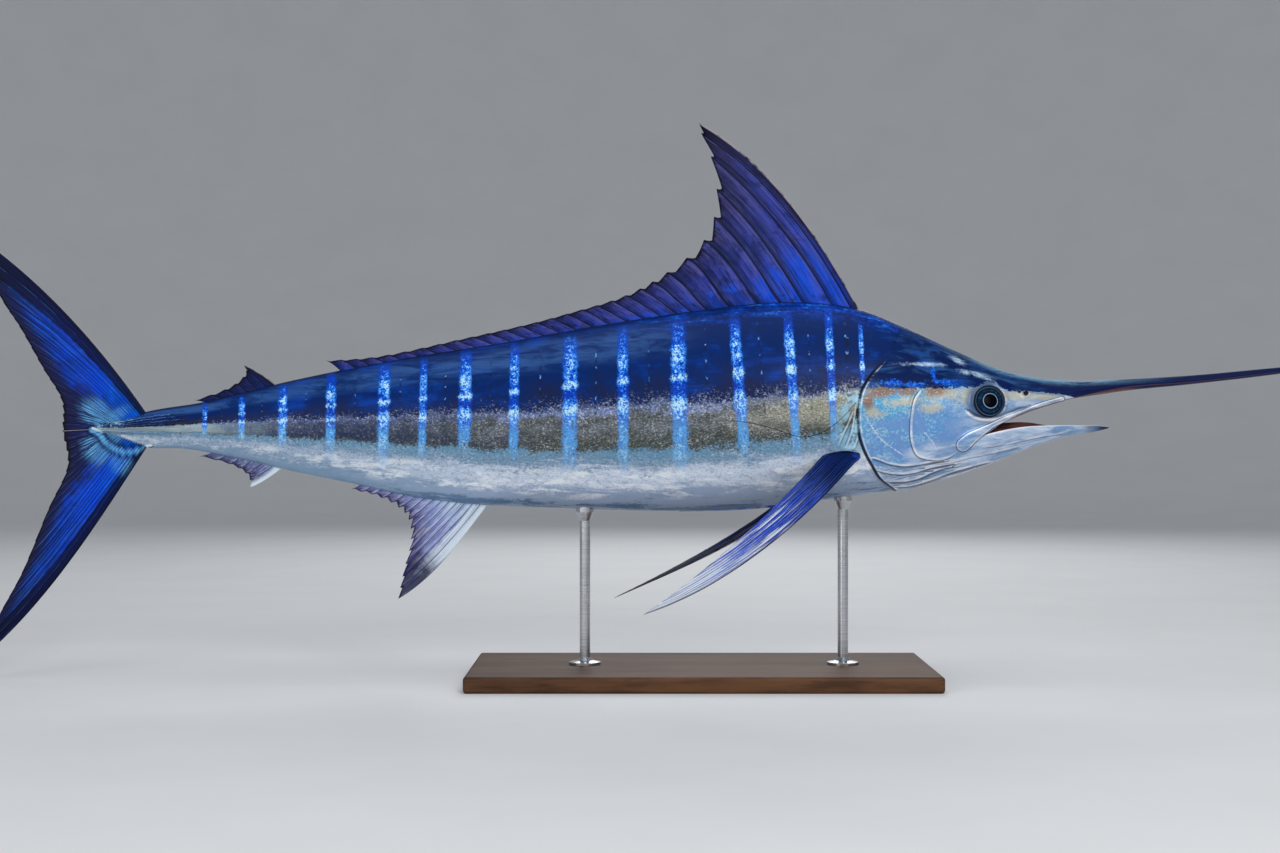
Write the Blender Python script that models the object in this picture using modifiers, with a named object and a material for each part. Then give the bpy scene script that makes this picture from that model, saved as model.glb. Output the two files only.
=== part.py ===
"""Striped marlin, life size, swimming level on a plain display stand.

Metres. +X points along the bill, +Y to the fish's left and +Z up. The origin lies on the floor
under the middle of the model.
"""
import math

import bmesh
import bpy
import numpy as np
from mathutils import Matrix, Vector
from mathutils.bvhtree import BVHTree

GAP = 0.0003  # room kept between neighbouring pieces

# Side outline of the body and the bill, (x, z) from the tail to the bill's tip.
BACK_LINE = (
    (-1.070, 0.482), (-1.040, 0.489), (-0.967, 0.510), (-0.859, 0.528), (-0.709, 0.565),
    (-0.591, 0.590), (-0.448, 0.616), (-0.296, 0.640), (-0.106, 0.674), (0.084, 0.703),
    (0.236, 0.718), (0.312, 0.716), (0.388, 0.704), (0.464, 0.673), (0.578, 0.621),
    (0.654, 0.589), (0.730, 0.573), (0.806, 0.568), (0.880, 0.571), (1.007, 0.578),
    (1.186, 0.594), (1.322, 0.605),
)
BELLY_LINE = (
    (-1.070, 0.474), (-1.040, 0.466), (-0.967, 0.442), (-0.904, 0.440), (-0.790, 0.420),
    (-0.701, 0.399), (-0.570, 0.372), (-0.448, 0.346), (-0.334, 0.333), (-0.182, 0.327),
    (-0.030, 0.322), (0.084, 0.322), (0.236, 0.332), (0.369, 0.349), (0.464, 0.363),
    (0.540, 0.380), (0.616, 0.404), (0.692, 0.434), (0.768, 0.460), (0.844, 0.474),
    (0.859, 0.478),
)
WIDEST_LEVEL = (
    (-1.070, 0.478), (-0.967, 0.478), (-0.859, 0.481), (-0.701, 0.486), (-0.570, 0.492),
    (-0.391, 0.498), (-0.106, 0.511), (0.084, 0.519), (0.274, 0.522), (0.388, 0.521),
    (0.502, 0.513), (0.625, 0.517), (0.692, 0.528), (0.745, 0.540), (0.806, 0.550),
    (0.880, 0.560), (1.007, 0.569), (1.186, 0.588), (1.322, 0.6035),
)
HALF_WIDTH = (
    (-1.070, 0.007), (-1.040, 0.011), (-0.967, 0.0185), (-0.859, 0.025), (-0.700, 0.036),
    (-0.570, 0.047), (-0.450, 0.058), (-0.300, 0.072), (-0.100, 0.086), (0.080, 0.095),
    (0.240, 0.098), (0.390, 0.094), (0.460, 0.089), (0.540, 0.078), (0.600, 0.066),
    (0.640, 0.0585), (0.700, 0.046), (0.750, 0.036), (0.806, 0.027), (0.880, 0.0185),
    (1.007, 0.0128), (1.186, 0.0082), (1.322, 0.0028),
)
BACK_ROUNDNESS = 1.75   # superellipse power, under 2 for a back that rises to a ridge
BELLY_ROUNDNESS = 2.05

# The free edge of the gill cover, which carries on over the nape, as (z, x).
GILL_EDGE = (
    (0.350, 0.464), (0.364, 0.448), (0.381, 0.424), (0.408, 0.404), (0.438, 0.387),
    (0.475, 0.3760), (0.512, 0.3750), (0.549, 0.3820), (0.578, 0.400), (0.603, 0.4225),
    (0.640, 0.445), (0.690, 0.4675),
)
GILL_PROUD = 0.004      # how far the cover stands out over the shoulder
GILL_FADE = 0.3         # share of the head's length in which the cover falls back to the skin
GILL_TOP = 0.600        # height where its edge dies into the nape
GILL_ROOM = 0.030       # distance from the nape and the middle line in which it dies away

# Mouth: the corner, the edge of the upper jaw, the roof, the edge of the lower jaw.
MOUTH_CORNER_X = 0.615
BILL_ROOT_X = 0.880
JAW_TIP_X = 0.859
UPPER_LIP = (
    (0.615, 0.466), (0.657, 0.492), (0.6885, 0.506), (0.738, 0.522), (0.801, 0.538),
    (0.841, 0.547), (0.880, 0.554),
)
MUZZLE_KEEL = (
    (0.615, 0.4035), (0.690, 0.452), (0.750, 0.490), (0.806, 0.523), (0.880, 0.548),
)
MOUTH_ROOF = (
    (0.615, 0.478), (0.657, 0.500), (0.740, 0.525), (0.806, 0.537), (0.844, 0.5425),
    (0.880, 0.548), (1.007, 0.561), (1.186, 0.582), (1.322, 0.602),
)
LOWER_LIP = (
    (0.615, 0.466), (0.645, 0.4735), (0.689, 0.4810), (0.743, 0.4838), (0.802, 0.4838),
    (0.842, 0.4828), (0.859, 0.4805),
)
JAW_LEVEL = (
    (0.615, 0.516), (0.652, 0.506), (0.694, 0.495), (0.750, 0.4885), (0.806, 0.486),
    (0.844, 0.4845), (0.859, 0.4815),
)
JAW_HALF_WIDTH = (
    (0.615, 0.0630), (0.652, 0.0550), (0.694, 0.0445), (0.750, 0.0330), (0.806, 0.0215),
    (0.844, 0.0115), (0.859, 0.0045),
)
JAW_HOLLOW = ((0.615, 0.012), (0.690, 0.011), (0.800, 0.006), (0.859, 0.001))
JAW_FLARE = 0.010       # how far above its widest level a jaw section's upper part would reach
JAW_CROWDING = 0.9      # below 1, the jaw's sections stand closer towards the tip

# Forms on the side of the head are placed as seen from this distance: (x, z) is where the line of
# sight from the viewer crosses the fish's middle plane.
VIEWER = (-0.0304, 4.0, 0.4817)

# Eye and nostril on the side of the head, (x, z).
EYE_PLACE = (0.6333, 0.5295)
EYE_RADIUS = 0.0285
EYE_DEPTH = 0.011       # half the eyeball's thickness
EYE_SUNK = 0.0035       # how deep its middle lies under the skin
ORBIT_RADIUS = 0.0315
ORBIT_RIM_WIDTH = 0.0045
ORBIT_RIM_HEIGHT = 0.0030
ORBIT_STEPS = 18
NOSTRILS = (((0.703, 0.5453), 0.0036), ((0.6907, 0.5482), 0.0026))

# Raised lines on each side of the head: path (x, z), half width, height.
HEAD_RIDGES = {
    "maxilla": (
        ((0.578, 0.441), (0.589, 0.455), (0.607, 0.469), (0.632, 0.483), (0.662, 0.497),
         (0.692, 0.509), (0.740, 0.524)), 0.0075, 0.0042),
    "preopercle": (
        ((0.503, 0.553), (0.487, 0.520), (0.480, 0.480), (0.485, 0.445), (0.504, 0.422),
         (0.535, 0.416), (0.566, 0.425)), 0.0045, 0.0022),
    "opercle_fold": (((0.408, 0.424), (0.442, 0.408), (0.478, 0.407), (0.507, 0.412)), 0.004, 0.0018),
    "upper_gill_ray": (((0.420, 0.397), (0.450, 0.390), (0.500, 0.396), (0.560, 0.409)), 0.004, 0.0018),
    "lower_gill_ray": (((0.447, 0.376), (0.480, 0.377), (0.530, 0.396), (0.600, 0.419)), 0.004, 0.0018),
    "brow": (((0.572, 0.583), (0.605, 0.578), (0.640, 0.569), (0.676, 0.559)), 0.0050, 0.0022),
}
LIP_RIDGE = (
    ((0.640, 0.4675), (0.680, 0.4755), (0.730, 0.4805), (0.790, 0.4815), (0.835, 0.4810)),
    0.003, 0.0018,
)
TAIL_KEELS = (
    (((-0.915, 0.4885), (-0.965, 0.4865), (-1.010, 0.4845), (-1.050, 0.4830)), 0.0045, 0.0065),
    (((-0.915, 0.4700), (-0.965, 0.4720), (-1.010, 0.4735), (-1.050, 0.4745)), 0.0045, 0.0065),
)
RIDGE_STEP = 0.016      # length of one facet of a raised line
RIDGE_SUNK = 0.004      # depth of its lower half under the skin
RIDGE_SHOULDER = 0.0006 # depth of its two side edges under the skin
RIDGE_END_SHARE = 0.35  # width and height at its ends against those in the middle

# Lengths of the body
SHOULDER_X = 0.300
TAIL_FRONT_X = -0.600
TAIL_END_X = -1.070

# Steps of the lofts
STEPS_TO_LIP = 14
STEPS_BELOW_LIP = 8
ROOF_POINTS = 5
TAIL_SIDES = 28
BILL_SIDES = 20
GILL_SHARES = (0, 0.06, 0.16, 0.27, 0.38, 0.5, 0.62, 0.74, 0.86, 1.0)
SHOULDER_SHARES = (0, 0.33, 0.66)
JAW_STATIONS = 12
LOWER_JAW_STATIONS = 11
TORSO_STATIONS = 18
TAIL_STATIONS = 14
BILL_STATIONS = 12
BEND_ROUNDS = 20        # rounds in which a bent ring settles on the gill cover's edge
SHARP_ANGLE = 35        # degrees between faces from which their edge is drawn sharp

# Rays that shape each fin: (share of the rays, root x, root z, end x, end z, direction at the
# root and at the end in degrees from +X). The first is the leading edge.
DORSAL_RAYS = (
    (0.00, 0.380, 0.690, 0.082, 1.059, 112, 152),
    (0.03, 0.365, 0.692, 0.086, 1.040, 113, 147),
    (0.08, 0.335, 0.695, 0.104, 0.995, 115, 141),
    (0.14, 0.285, 0.700, 0.115, 0.933, 120, 138),
    (0.19, 0.245, 0.700, 0.110, 0.880, 124, 141),
    (0.24, 0.205, 0.700, 0.091, 0.836, 130, 147),
    (0.30, 0.150, 0.698, 0.058, 0.802, 138, 151),
    (0.40, 0.055, 0.685, -0.030, 0.744, 148, 154),
    (0.55, -0.100, 0.660, -0.170, 0.696, 154, 158),
    (0.75, -0.310, 0.625, -0.370, 0.648, 157, 160),
    (0.92, -0.500, 0.590, -0.550, 0.612, 158, 163),
    (1.00, -0.583, 0.575, -0.627, 0.607, 148, 160),
)
DORSAL_SPLIT = 0.35     # share of the rays in the high front lobe
SECOND_DORSAL_RAYS = (
    (0.00, -0.706, 0.550, -0.783, 0.598, 140, 158),
    (0.25, -0.735, 0.540, -0.780, 0.582, 142, 160),
    (0.50, -0.762, 0.535, -0.800, 0.563, 148, 165),
    (0.75, -0.795, 0.530, -0.832, 0.547, 160, 168),
    (1.00, -0.832, 0.521, -0.878, 0.532, 165, 172),
)
ANAL_RAYS = (
    (0.00, -0.318, 0.350, -0.490, 0.154, 231, 210),
    (0.17, -0.345, 0.355, -0.480, 0.205, 231, 225),
    (0.34, -0.372, 0.358, -0.466, 0.262, 230, 228),
    (0.50, -0.402, 0.362, -0.470, 0.304, 224, 218),
    (0.67, -0.440, 0.368, -0.494, 0.331, 214, 205),
    (0.84, -0.490, 0.378, -0.535, 0.351, 208, 198),
    (1.00, -0.535, 0.388, -0.580, 0.362, 207, 198),
)
SECOND_ANAL_RAYS = (
    (0.00, -0.696, 0.412, -0.771, 0.366, 212, 200),
    (0.25, -0.722, 0.420, -0.774, 0.387, 212, 200),
    (0.50, -0.752, 0.430, -0.793, 0.402, 212, 197),
    (0.75, -0.783, 0.437, -0.823, 0.414, 208, 192),
    (1.00, -0.818, 0.443, -0.868, 0.425, 203, 188),
)
UPPER_CAUDAL_RAYS = (
    (0.00, -0.958, 0.492, -1.319, 0.863, 124, 147),
    (0.20, -0.975, 0.490, -1.246, 0.728, 130, 146),
    (0.40, -0.992, 0.488, -1.208, 0.669, 136, 148),
    (0.60, -1.008, 0.486, -1.166, 0.594, 143, 152),
    (0.80, -1.022, 0.483, -1.130, 0.532, 152, 160),
    (1.00, -1.035, 0.478, -1.128, 0.473, 183, 184),
)
LOWER_CAUDAL_RAYS = (
    (0.00, -0.955, 0.462, -1.300, 0.025, 237, 219),
    (0.20, -0.972, 0.464, -1.246, 0.128, 232, 226),
    (0.40, -0.990, 0.466, -1.203, 0.208, 228, 226),
    (0.60, -1.006, 0.469, -1.156, 0.322, 220, 223),
    (0.80, -1.020, 0.473, -1.119, 0.405, 208, 212),
    (1.00, -1.035, 0.478, -1.128, 0.473, 183, 184),
)
# Pectoral fin laid flat: along the fin as a share of its length, across it in metres.
PECTORAL_RAYS = (
    (0.00, 0.00, 0.027, 1.00, 0.000, 1, -5),
    (0.25, 0.00, 0.014, 0.93, -0.003, 0, -3),
    (0.50, 0.00, 0.001, 0.76, -0.010, -1, -2),
    (0.75, 0.00, -0.012, 0.52, -0.018, -1, -1),
    (1.00, 0.00, -0.026, 0.22, -0.024, 0, 0),
)
PECTORAL_LENGTH = 0.49
PECTORAL_ROOT = (0.345, 0.062, 0.432)
# Tip, direction at the root and at the tip, and the turn of the fin about its length, degrees.
PECTORALS = {
    "pectoral_fin_right": (
        (-0.025, -0.200, 0.1414), (-0.556, -0.420, -0.579), (-0.826, -0.391, -0.406), 24),
    "pectoral_fin_left": (
        (-0.0823, 0.200, 0.1394), (-0.606, 0.400, -0.777), (-0.893, 0.116, -0.435), 98),
}
PELVIC_PATH = ((0.310, 0.012), (0.220, 0.011), (0.130, 0.010), (0.046, 0.009))
PELVIC_WIDTH = 0.0045
PELVIC_HEIGHT = 0.0036
PELVIC_TIP_SHARE = 0.25 # width of the tip against that of the root
PELVIC_STATIONS = 9

# Each fin in the solids: rays, rows along a ray, half thickness at the root and the edge, and
# how far the web is notched between the rays.
FINS = {
    "dorsal_fin_front": (13, 9, 0.0050, 0.0009, 0.006),
    "dorsal_fin_rear": (17, 4, 0.0040, 0.0008, 0.004),
    "second_dorsal_fin": (6, 5, 0.0034, 0.0007, 0.003),
    "anal_fin": (9, 8, 0.0060, 0.0008, 0.005),
    "second_anal_fin": (6, 5, 0.0034, 0.0007, 0.003),
    "caudal_fin": (11, 10, 0.0065, 0.0010, 0.004),
    "pectoral_fin": (7, 12, 0.0070, 0.0009, 0.003),
}
WEB_SHARE = 0.5         # thickness of the web between rays against that of the rays
WEB_LEAST = 0.0003      # half thickness of the thinnest web
FIN_FADE = 1.4          # how quickly a fin thins from its root
LEAD_SHARE = 0.5        # thickness of the front edge against that of the rays
PECTORAL_BOSS = 0.006   # extra half thickness of the fleshy root
PECTORAL_BOSS_REACH = 0.13

# Stand
BASE_LENGTH = 0.870
BASE_WIDTH = 0.420
BASE_HEIGHT = 0.030
BASE_MIDDLE_X = 0.085
BASE_ROUNDING = 0.006
ROD_X = {"stand_rod_front": 0.355, "stand_rod_rear": -0.135}
ROD_RADIUS = 0.010
ROD_FOOT_RADIUS = 0.030
ROD_FOOT_HEIGHT = 0.008
ROD_SADDLE_RADIUS = 0.017
ROD_SADDLE_HEIGHT = 0.022
ROD_SADDLE_LIP = 0.006
ROD_INTO_BELLY = 0.010  # cut back to the belly's own shape
ROD_FILLET = 0.006
ROD_SIDES = 24

# Material of each piece: colour, roughness, metallic
FINISHES = {
    "head": ((0.25, 0.34, 0.45), 0.32, 0.35),
    "torso": ((0.16, 0.22, 0.34), 0.30, 0.35),
    "tail": ((0.10, 0.14, 0.24), 0.30, 0.35),
    "bill": ((0.04, 0.05, 0.09), 0.35, 0.20),
    "lower_jaw": ((0.62, 0.66, 0.72), 0.35, 0.25),
    "eye": ((0.01, 0.02, 0.04), 0.05, 0.00),
    "dorsal_fin": ((0.07, 0.05, 0.22), 0.38, 0.25),
    "caudal_fin": ((0.05, 0.07, 0.28), 0.36, 0.25),
    "anal_fin": ((0.55, 0.53, 0.66), 0.40, 0.20),
    "pectoral_fin": ((0.20, 0.22, 0.42), 0.36, 0.25),
    "pelvic_fin": ((0.12, 0.12, 0.28), 0.40, 0.20),
    "stand_base": ((0.10, 0.055, 0.03), 0.40, 0.00),
    "stand_rod": ((0.55, 0.56, 0.58), 0.28, 1.00),
}


def smooth(points, at):
    """Values at `at` of a smooth curve through rows of (position, value, ...)."""
    table = np.array(points, float)
    where, values = table[:, 0], table[:, 1:]
    steps = np.diff(where)[:, None]
    slopes = np.diff(values, axis=0) / steps
    bends = np.vstack([slopes[:1], slopes, slopes[-1:]])
    reach = np.vstack([steps[:1], steps, steps[-1:]])
    tangents = (bends[:-1] * reach[1:] + bends[1:] * reach[:-1]) / (reach[:-1] + reach[1:])
    at = np.clip(np.asarray(at, float), where[0], where[-1])
    cell = np.clip(np.searchsorted(where, at, side="right") - 1, 0, len(where) - 2)
    step = steps[cell]
    t = (at - where[cell])[..., None] / step
    result = (
        (2 * t**3 - 3 * t**2 + 1) * values[cell] + (t**3 - 2 * t**2 + t) * step * tangents[cell]
        + (3 * t**2 - 2 * t**3) * values[cell + 1] + (t**3 - t**2) * step * tangents[cell + 1]
    )
    return result[..., 0] if result.shape[-1] == 1 else result


def signed_power(value, power):
    """A power that keeps the sign of the value."""
    return np.sign(value) * np.abs(value) ** power


def section(angle, top, level, bottom, half_width, lower_power=BELLY_ROUNDNESS):
    """Points (y, z) of a body section; the angle runs from the top over the left side."""
    up = np.cos(angle)
    power = np.where(up > 0, BACK_ROUNDNESS, lower_power)
    height = np.where(up > 0, top - level, level - bottom)
    y = half_width * signed_power(np.sin(angle), 2 / power)
    return y, level + height * signed_power(up, 2 / power)


def body_section(x, angle):
    """Points (y, z) of the whole body's section at x."""
    return section(
        angle, smooth(BACK_LINE, x), smooth(WIDEST_LEVEL, x), smooth(BELLY_LINE, x),
        smooth(HALF_WIDTH, x),
    )


def angle_at(height, level, bottom, power=BELLY_ROUNDNESS):
    """Angle at which the lower part of a section passes the given height."""
    share = np.clip((level - height) / (level - bottom), 0, 1)
    return math.pi - np.arccos(share ** (power / 2))


def both_sides(half):
    """Angles of a whole ring from those of its left side, top to bottom."""
    return np.concatenate([half, 2 * math.pi - half[-2:0:-1]])


LIP_ANGLE = float(angle_at(
    smooth(UPPER_LIP, MOUTH_CORNER_X), smooth(WIDEST_LEVEL, MOUTH_CORNER_X),
    smooth(BELLY_LINE, MOUTH_CORNER_X),
))
BODY_ANGLES = both_sides(np.concatenate([
    np.linspace(0, LIP_ANGLE, STEPS_TO_LIP + 1),
    np.linspace(LIP_ANGLE, math.pi, STEPS_BELOW_LIP + 1)[1:],
]))


def flat_ring(x, angles=BODY_ANGLES):
    """Ring of the body at one x."""
    y, z = body_section(np.full_like(angles, x), angles)
    return np.column_stack([np.full_like(angles, x), y, z])


def bent_ring(share, flat_x):
    """Ring part of the way from the gill cover's edge to the flat ring at flat_x."""
    x = np.full_like(BODY_ANGLES, flat_x)
    for _ in range(BEND_ROUNDS):
        y, z = body_section(x, BODY_ANGLES)
        x = smooth(GILL_EDGE, z) * (1 - share) + flat_x * share
    return np.column_stack([x, y, z])


def gill_swell(ring, share):
    """The ring with the gill cover's free edge raised over the shoulder."""
    fade = max(0.0, 1 - share / GILL_FADE) ** 2
    below_nape = np.clip((GILL_TOP - ring[:, 2]) / GILL_ROOM, 0, 1)
    off_middle = np.clip(np.abs(ring[:, 1]) / GILL_ROOM, 0, 1)
    swollen = ring.copy()
    swollen[:, 1] += np.sign(ring[:, 1]) * GILL_PROUD * fade * below_nape * off_middle
    return swollen


def mesh_object(name, points, faces):
    """A mesh object with its faces pointing outwards."""
    mesh = bpy.data.meshes.new(name)
    mesh.from_pydata([tuple(point) for point in points], [], [tuple(face) for face in faces])
    shape = bmesh.new()
    shape.from_mesh(mesh)
    bmesh.ops.recalc_face_normals(shape, faces=shape.faces)
    shape.to_mesh(mesh)
    shape.free()
    obj = bpy.data.objects.new(name, mesh)
    PIECES.objects.link(obj)
    return obj


def tube_faces(count, rings):
    """Quads between rings of `count` points that follow one another."""
    return [
        (r * count + k, r * count + (k + 1) % count,
         (r + 1) * count + (k + 1) % count, (r + 1) * count + k)
        for r in range(rings - 1) for k in range(count)
    ]


def cap_faces(start, count):
    """Strips across a ring, from its left side to its right, so that each is flat."""
    half = count // 2
    faces = [(start, start + 1, start + count - 1)]
    for k in range(1, half - 1):
        faces.append((start + k, start + k + 1, start + count - k - 1, start + count - k))
    faces.append((start + half - 1, start + half, start + half + 1))
    return faces


def loft(name, rings):
    """A closed solid through rings that are alike left and right."""
    count = len(rings[0])
    faces = tube_faces(count, len(rings))
    faces += cap_faces(0, count) + cap_faces((len(rings) - 1) * count, count)
    return mesh_object(name, np.vstack(rings), faces)


def across(x, edge_y, edge_z, middle_z):
    """Points from the left lip to the right one over the roof or the floor of the mouth."""
    y = np.linspace(edge_y, -edge_y, ROOF_POINTS + 2)[1:-1]
    z = middle_z + (edge_z - middle_z) * (y / edge_y) ** 2
    return np.column_stack([np.full(ROOF_POINTS, x), y, z])


def upper_jaw_ring(x):
    """Right lip, over the top, left lip, and back across the roof of the mouth."""
    level, bottom = smooth(WIDEST_LEVEL, x), smooth(MUZZLE_KEEL, x)
    lip = angle_at(smooth(UPPER_LIP, x), level, bottom)
    angles = np.linspace(-lip, lip, 2 * STEPS_TO_LIP + 1)
    y, z = section(angles, smooth(BACK_LINE, x), level, bottom, smooth(HALF_WIDTH, x))
    outer = np.column_stack([np.full_like(angles, x), y, z])
    return np.vstack([outer, across(x, y[-1], z[-1], smooth(MOUTH_ROOF, x))])


def lower_jaw_ring(x):
    """Left lip, under the chin, right lip, and back across the floor of the mouth."""
    level, bottom = smooth(JAW_LEVEL, x), smooth(BELLY_LINE, x)
    lip_z = smooth(LOWER_LIP, x)
    lip = angle_at(lip_z, level, bottom)
    angles = np.linspace(lip, 2 * math.pi - lip, 2 * STEPS_BELOW_LIP + 1)
    y, z = section(angles, level + JAW_FLARE, level, bottom, smooth(JAW_HALF_WIDTH, x))
    outer = np.column_stack([np.full_like(angles, x), y, z])
    floor = across(x, y[0], z[0], lip_z - smooth(JAW_HOLLOW, x))
    return np.vstack([outer, floor[::-1]])


def make_head():
    """Gill covers, cheeks, brow and the upper jaw as far as the bill."""
    rings = [gill_swell(bent_ring(share, MOUTH_CORNER_X), share) for share in GILL_SHARES]
    count = len(BODY_ANGLES)
    last = (len(rings) - 1) * count
    points = [*np.vstack(rings)]
    faces = tube_faces(count, len(rings)) + cap_faces(0, count)

    stations = np.linspace(MOUTH_CORNER_X, BILL_ROOT_X, JAW_STATIONS)
    jaw_rings = [upper_jaw_ring(x) for x in stations]
    arc = 2 * STEPS_TO_LIP + 1
    outer = [last + (count - STEPS_TO_LIP + k) % count for k in range(arc)]
    roof = [len(points) + k for k in range(ROOF_POINTS)]
    points += [*jaw_rings[0][arc:]]
    lower_arc = [last + STEPS_TO_LIP + k for k in range(2 * STEPS_BELOW_LIP + 1)]
    faces.append(lower_arc + roof[::-1])
    before = outer + roof
    for ring in jaw_rings[1:]:
        now = [len(points) + k for k in range(len(ring))]
        points += [*ring]
        for k in range(len(ring)):
            after = (k + 1) % len(ring)
            faces.append((before[k], before[after], now[after], now[k]))
        before = now
    faces.append(before)
    return mesh_object("head", points, faces)


def make_lower_jaw():
    """The lower jaw from the corner of the mouth to its pointed tip."""
    shares = np.linspace(0, 1, LOWER_JAW_STATIONS) ** JAW_CROWDING
    start = MOUTH_CORNER_X + GAP
    rings = [lower_jaw_ring(start + (JAW_TIP_X - start) * share) for share in shares]
    count = len(rings[0])
    faces = tube_faces(count, len(rings))
    faces += [range(count), range((len(rings) - 1) * count, len(rings) * count)]
    return mesh_object("lower_jaw", np.vstack(rings), faces)


def make_torso():
    """The trunk from the gill opening to behind the anal fin."""
    rings = [bent_ring(share, SHOULDER_X) for share in SHOULDER_SHARES]
    rings[0][:, 0] -= GAP
    rings += [flat_ring(x) for x in np.linspace(SHOULDER_X, TAIL_FRONT_X, TORSO_STATIONS)]
    return loft("torso", rings)


def make_tail():
    """The tail stock, which thins to the root of the caudal fin."""
    angles = both_sides(np.linspace(0, math.pi, TAIL_SIDES // 2 + 1))
    stations = np.linspace(TAIL_FRONT_X - GAP, TAIL_END_X, TAIL_STATIONS)
    return loft("tail", [flat_ring(x, angles) for x in stations])


def make_bill():
    """The round spear in front of the upper jaw."""
    angles = both_sides(np.linspace(0, math.pi, BILL_SIDES // 2 + 1))
    rings = []
    for x in np.linspace(BILL_ROOT_X + GAP, BACK_LINE[-1][0], BILL_STATIONS):
        y, z = section(
            angles, smooth(BACK_LINE, x), smooth(WIDEST_LEVEL, x), smooth(MOUTH_ROOF, x),
            smooth(HALF_WIDTH, x),
        )
        rings.append(np.column_stack([np.full_like(angles, x), y, z]))
    return loft("bill", rings)


def hermite(start, end, leave, arrive, t):
    """Points along a curve from start to end that leaves and arrives in given directions."""
    reach = np.linalg.norm(end - start, axis=-1, keepdims=True)
    t = t[..., None]
    return (
        (2 * t**3 - 3 * t**2 + 1) * start + (t**3 - 2 * t**2 + t) * leave * reach
        + (3 * t**2 - 2 * t**3) * end + (t**3 - t**2) * arrive * reach
    )


def fan(rays, shares, rows, notch):
    """Points of a flat fin: a column for each ray and each web between, rows from root to edge."""
    values = smooth(rays, shares)[:, None, :]
    start, end = values[..., 0:2], values[..., 2:4]
    leave, arrive = np.radians(values[..., 4]), np.radians(values[..., 5])
    reach = np.linalg.norm(end - start, axis=-1)[:, 0]
    last = np.ones(len(shares))
    last[1::2] -= np.minimum(notch / reach[1::2], 0.2)
    t = np.linspace(0, 1, rows)[None, :] * last[:, None]
    points = hermite(
        start, end, np.stack([np.cos(leave), np.sin(leave)], axis=-1),
        np.stack([np.cos(arrive), np.sin(arrive)], axis=-1), t,
    )
    return points, t


def sheet_solid(name, grid, half, side):
    """A closed solid round a sheet of points; half is its half thickness along side."""
    columns, rows = half.shape
    offset = side * half[..., None]
    points = np.concatenate([(grid + offset).reshape(-1, 3), (grid - offset).reshape(-1, 3)])
    index = np.arange(columns * rows).reshape(columns, rows)
    far = columns * rows
    faces = []
    for i in range(columns - 1):
        for j in range(rows - 1):
            a, b, c, d = index[i, j], index[i + 1, j], index[i + 1, j + 1], index[i, j + 1]
            faces += [(a, b, c), (a, c, d), (a + far, c + far, b + far), (a + far, d + far, c + far)]
    rim = [*index[:, 0], *index[-1, 1:], *index[-2::-1, -1], *index[0, -2:0:-1]]
    for a, b in zip(rim, rim[1:] + rim[:1]):
        faces.append((a, a + far, b + far, b))
    return mesh_object(name, points, faces)


def fin_halves(t, root, edge):
    """Half thickness: full at the root, thin at the edge, with rays raised above the web."""
    half = edge + (root - edge) * (1 - t) ** FIN_FADE
    half[1::2] = np.maximum(WEB_LEAST, half[1::2] * WEB_SHARE)
    half[0] *= LEAD_SHARE
    return half


def flat_fin(name, kind, rays, start=0.0, end=1.0):
    """A fin that stands in the middle plane of the fish, from a first share of its rays to a last."""
    count, rows, root, edge, notch = FINS[kind]
    flat, t = fan(rays, np.linspace(start, end, 2 * count - 1), rows, notch)
    grid = np.stack([flat[..., 0], np.zeros(t.shape), flat[..., 1]], axis=-1)
    return sheet_solid(name, grid, fin_halves(t, root, edge), np.array([0.0, 1.0, 0.0]))


def make_dorsal_fin():
    """The first dorsal fin: a high front lobe and a low rear part, parted at one ray."""
    front = flat_fin("dorsal_fin_front", "dorsal_fin_front", DORSAL_RAYS, end=DORSAL_SPLIT)
    rear = flat_fin("dorsal_fin_rear", "dorsal_fin_rear", DORSAL_RAYS, start=DORSAL_SPLIT)
    return front, rear


def make_caudal_fin():
    """Upper and lower lobes, which meet face to face behind the tail stock."""
    upper = flat_fin("caudal_fin_upper", "caudal_fin", UPPER_CAUDAL_RAYS)
    lower = flat_fin("caudal_fin_lower", "caudal_fin", LOWER_CAUDAL_RAYS)
    lower.data.transform(Matrix.Translation((0, 0, -GAP)))
    return upper, lower


def make_pectoral_fin(name, tip, leave, arrive, turn):
    """A long blade from the shoulder, swept back, down and outwards."""
    side = math.copysign(1, tip[1])
    count, rows, thick, edge, notch = FINS["pectoral_fin"]
    flat, t = fan(PECTORAL_RAYS, np.linspace(0, 1, 2 * count - 1), rows, notch / PECTORAL_LENGTH)
    root = np.array([PECTORAL_ROOT[0], side * PECTORAL_ROOT[1], PECTORAL_ROOT[2]])
    leave, arrive = (np.array(way) / np.linalg.norm(way) for way in (leave, arrive))
    along = np.clip(flat[..., 0], 0, 1)
    middle = hermite(root, np.array(tip), leave, arrive, along)
    ahead = hermite(root, np.array(tip), leave, arrive, along + 0.01) - middle
    ahead /= np.linalg.norm(ahead, axis=-1, keepdims=True)
    forward = np.array([1.0, 0.0, 0.0]) - ahead[..., :1] * ahead
    forward /= np.linalg.norm(forward, axis=-1, keepdims=True)
    out = np.cross(ahead, forward) * side
    angle = math.radians(turn)
    chord = forward * math.cos(angle) + out * math.sin(angle)
    grid = middle + chord * flat[..., 1:2]
    normal = np.cross(ahead, chord)
    half = fin_halves(t, thick, edge) + PECTORAL_BOSS * np.exp(-(along / PECTORAL_BOSS_REACH) ** 2)
    return sheet_solid(name, grid, half, normal)


def surface(obj):
    """Search tree of the object's faces."""
    return BVHTree.FromPolygons(
        [vertex.co for vertex in obj.data.vertices],
        [face.vertices for face in obj.data.polygons],
    )


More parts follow.
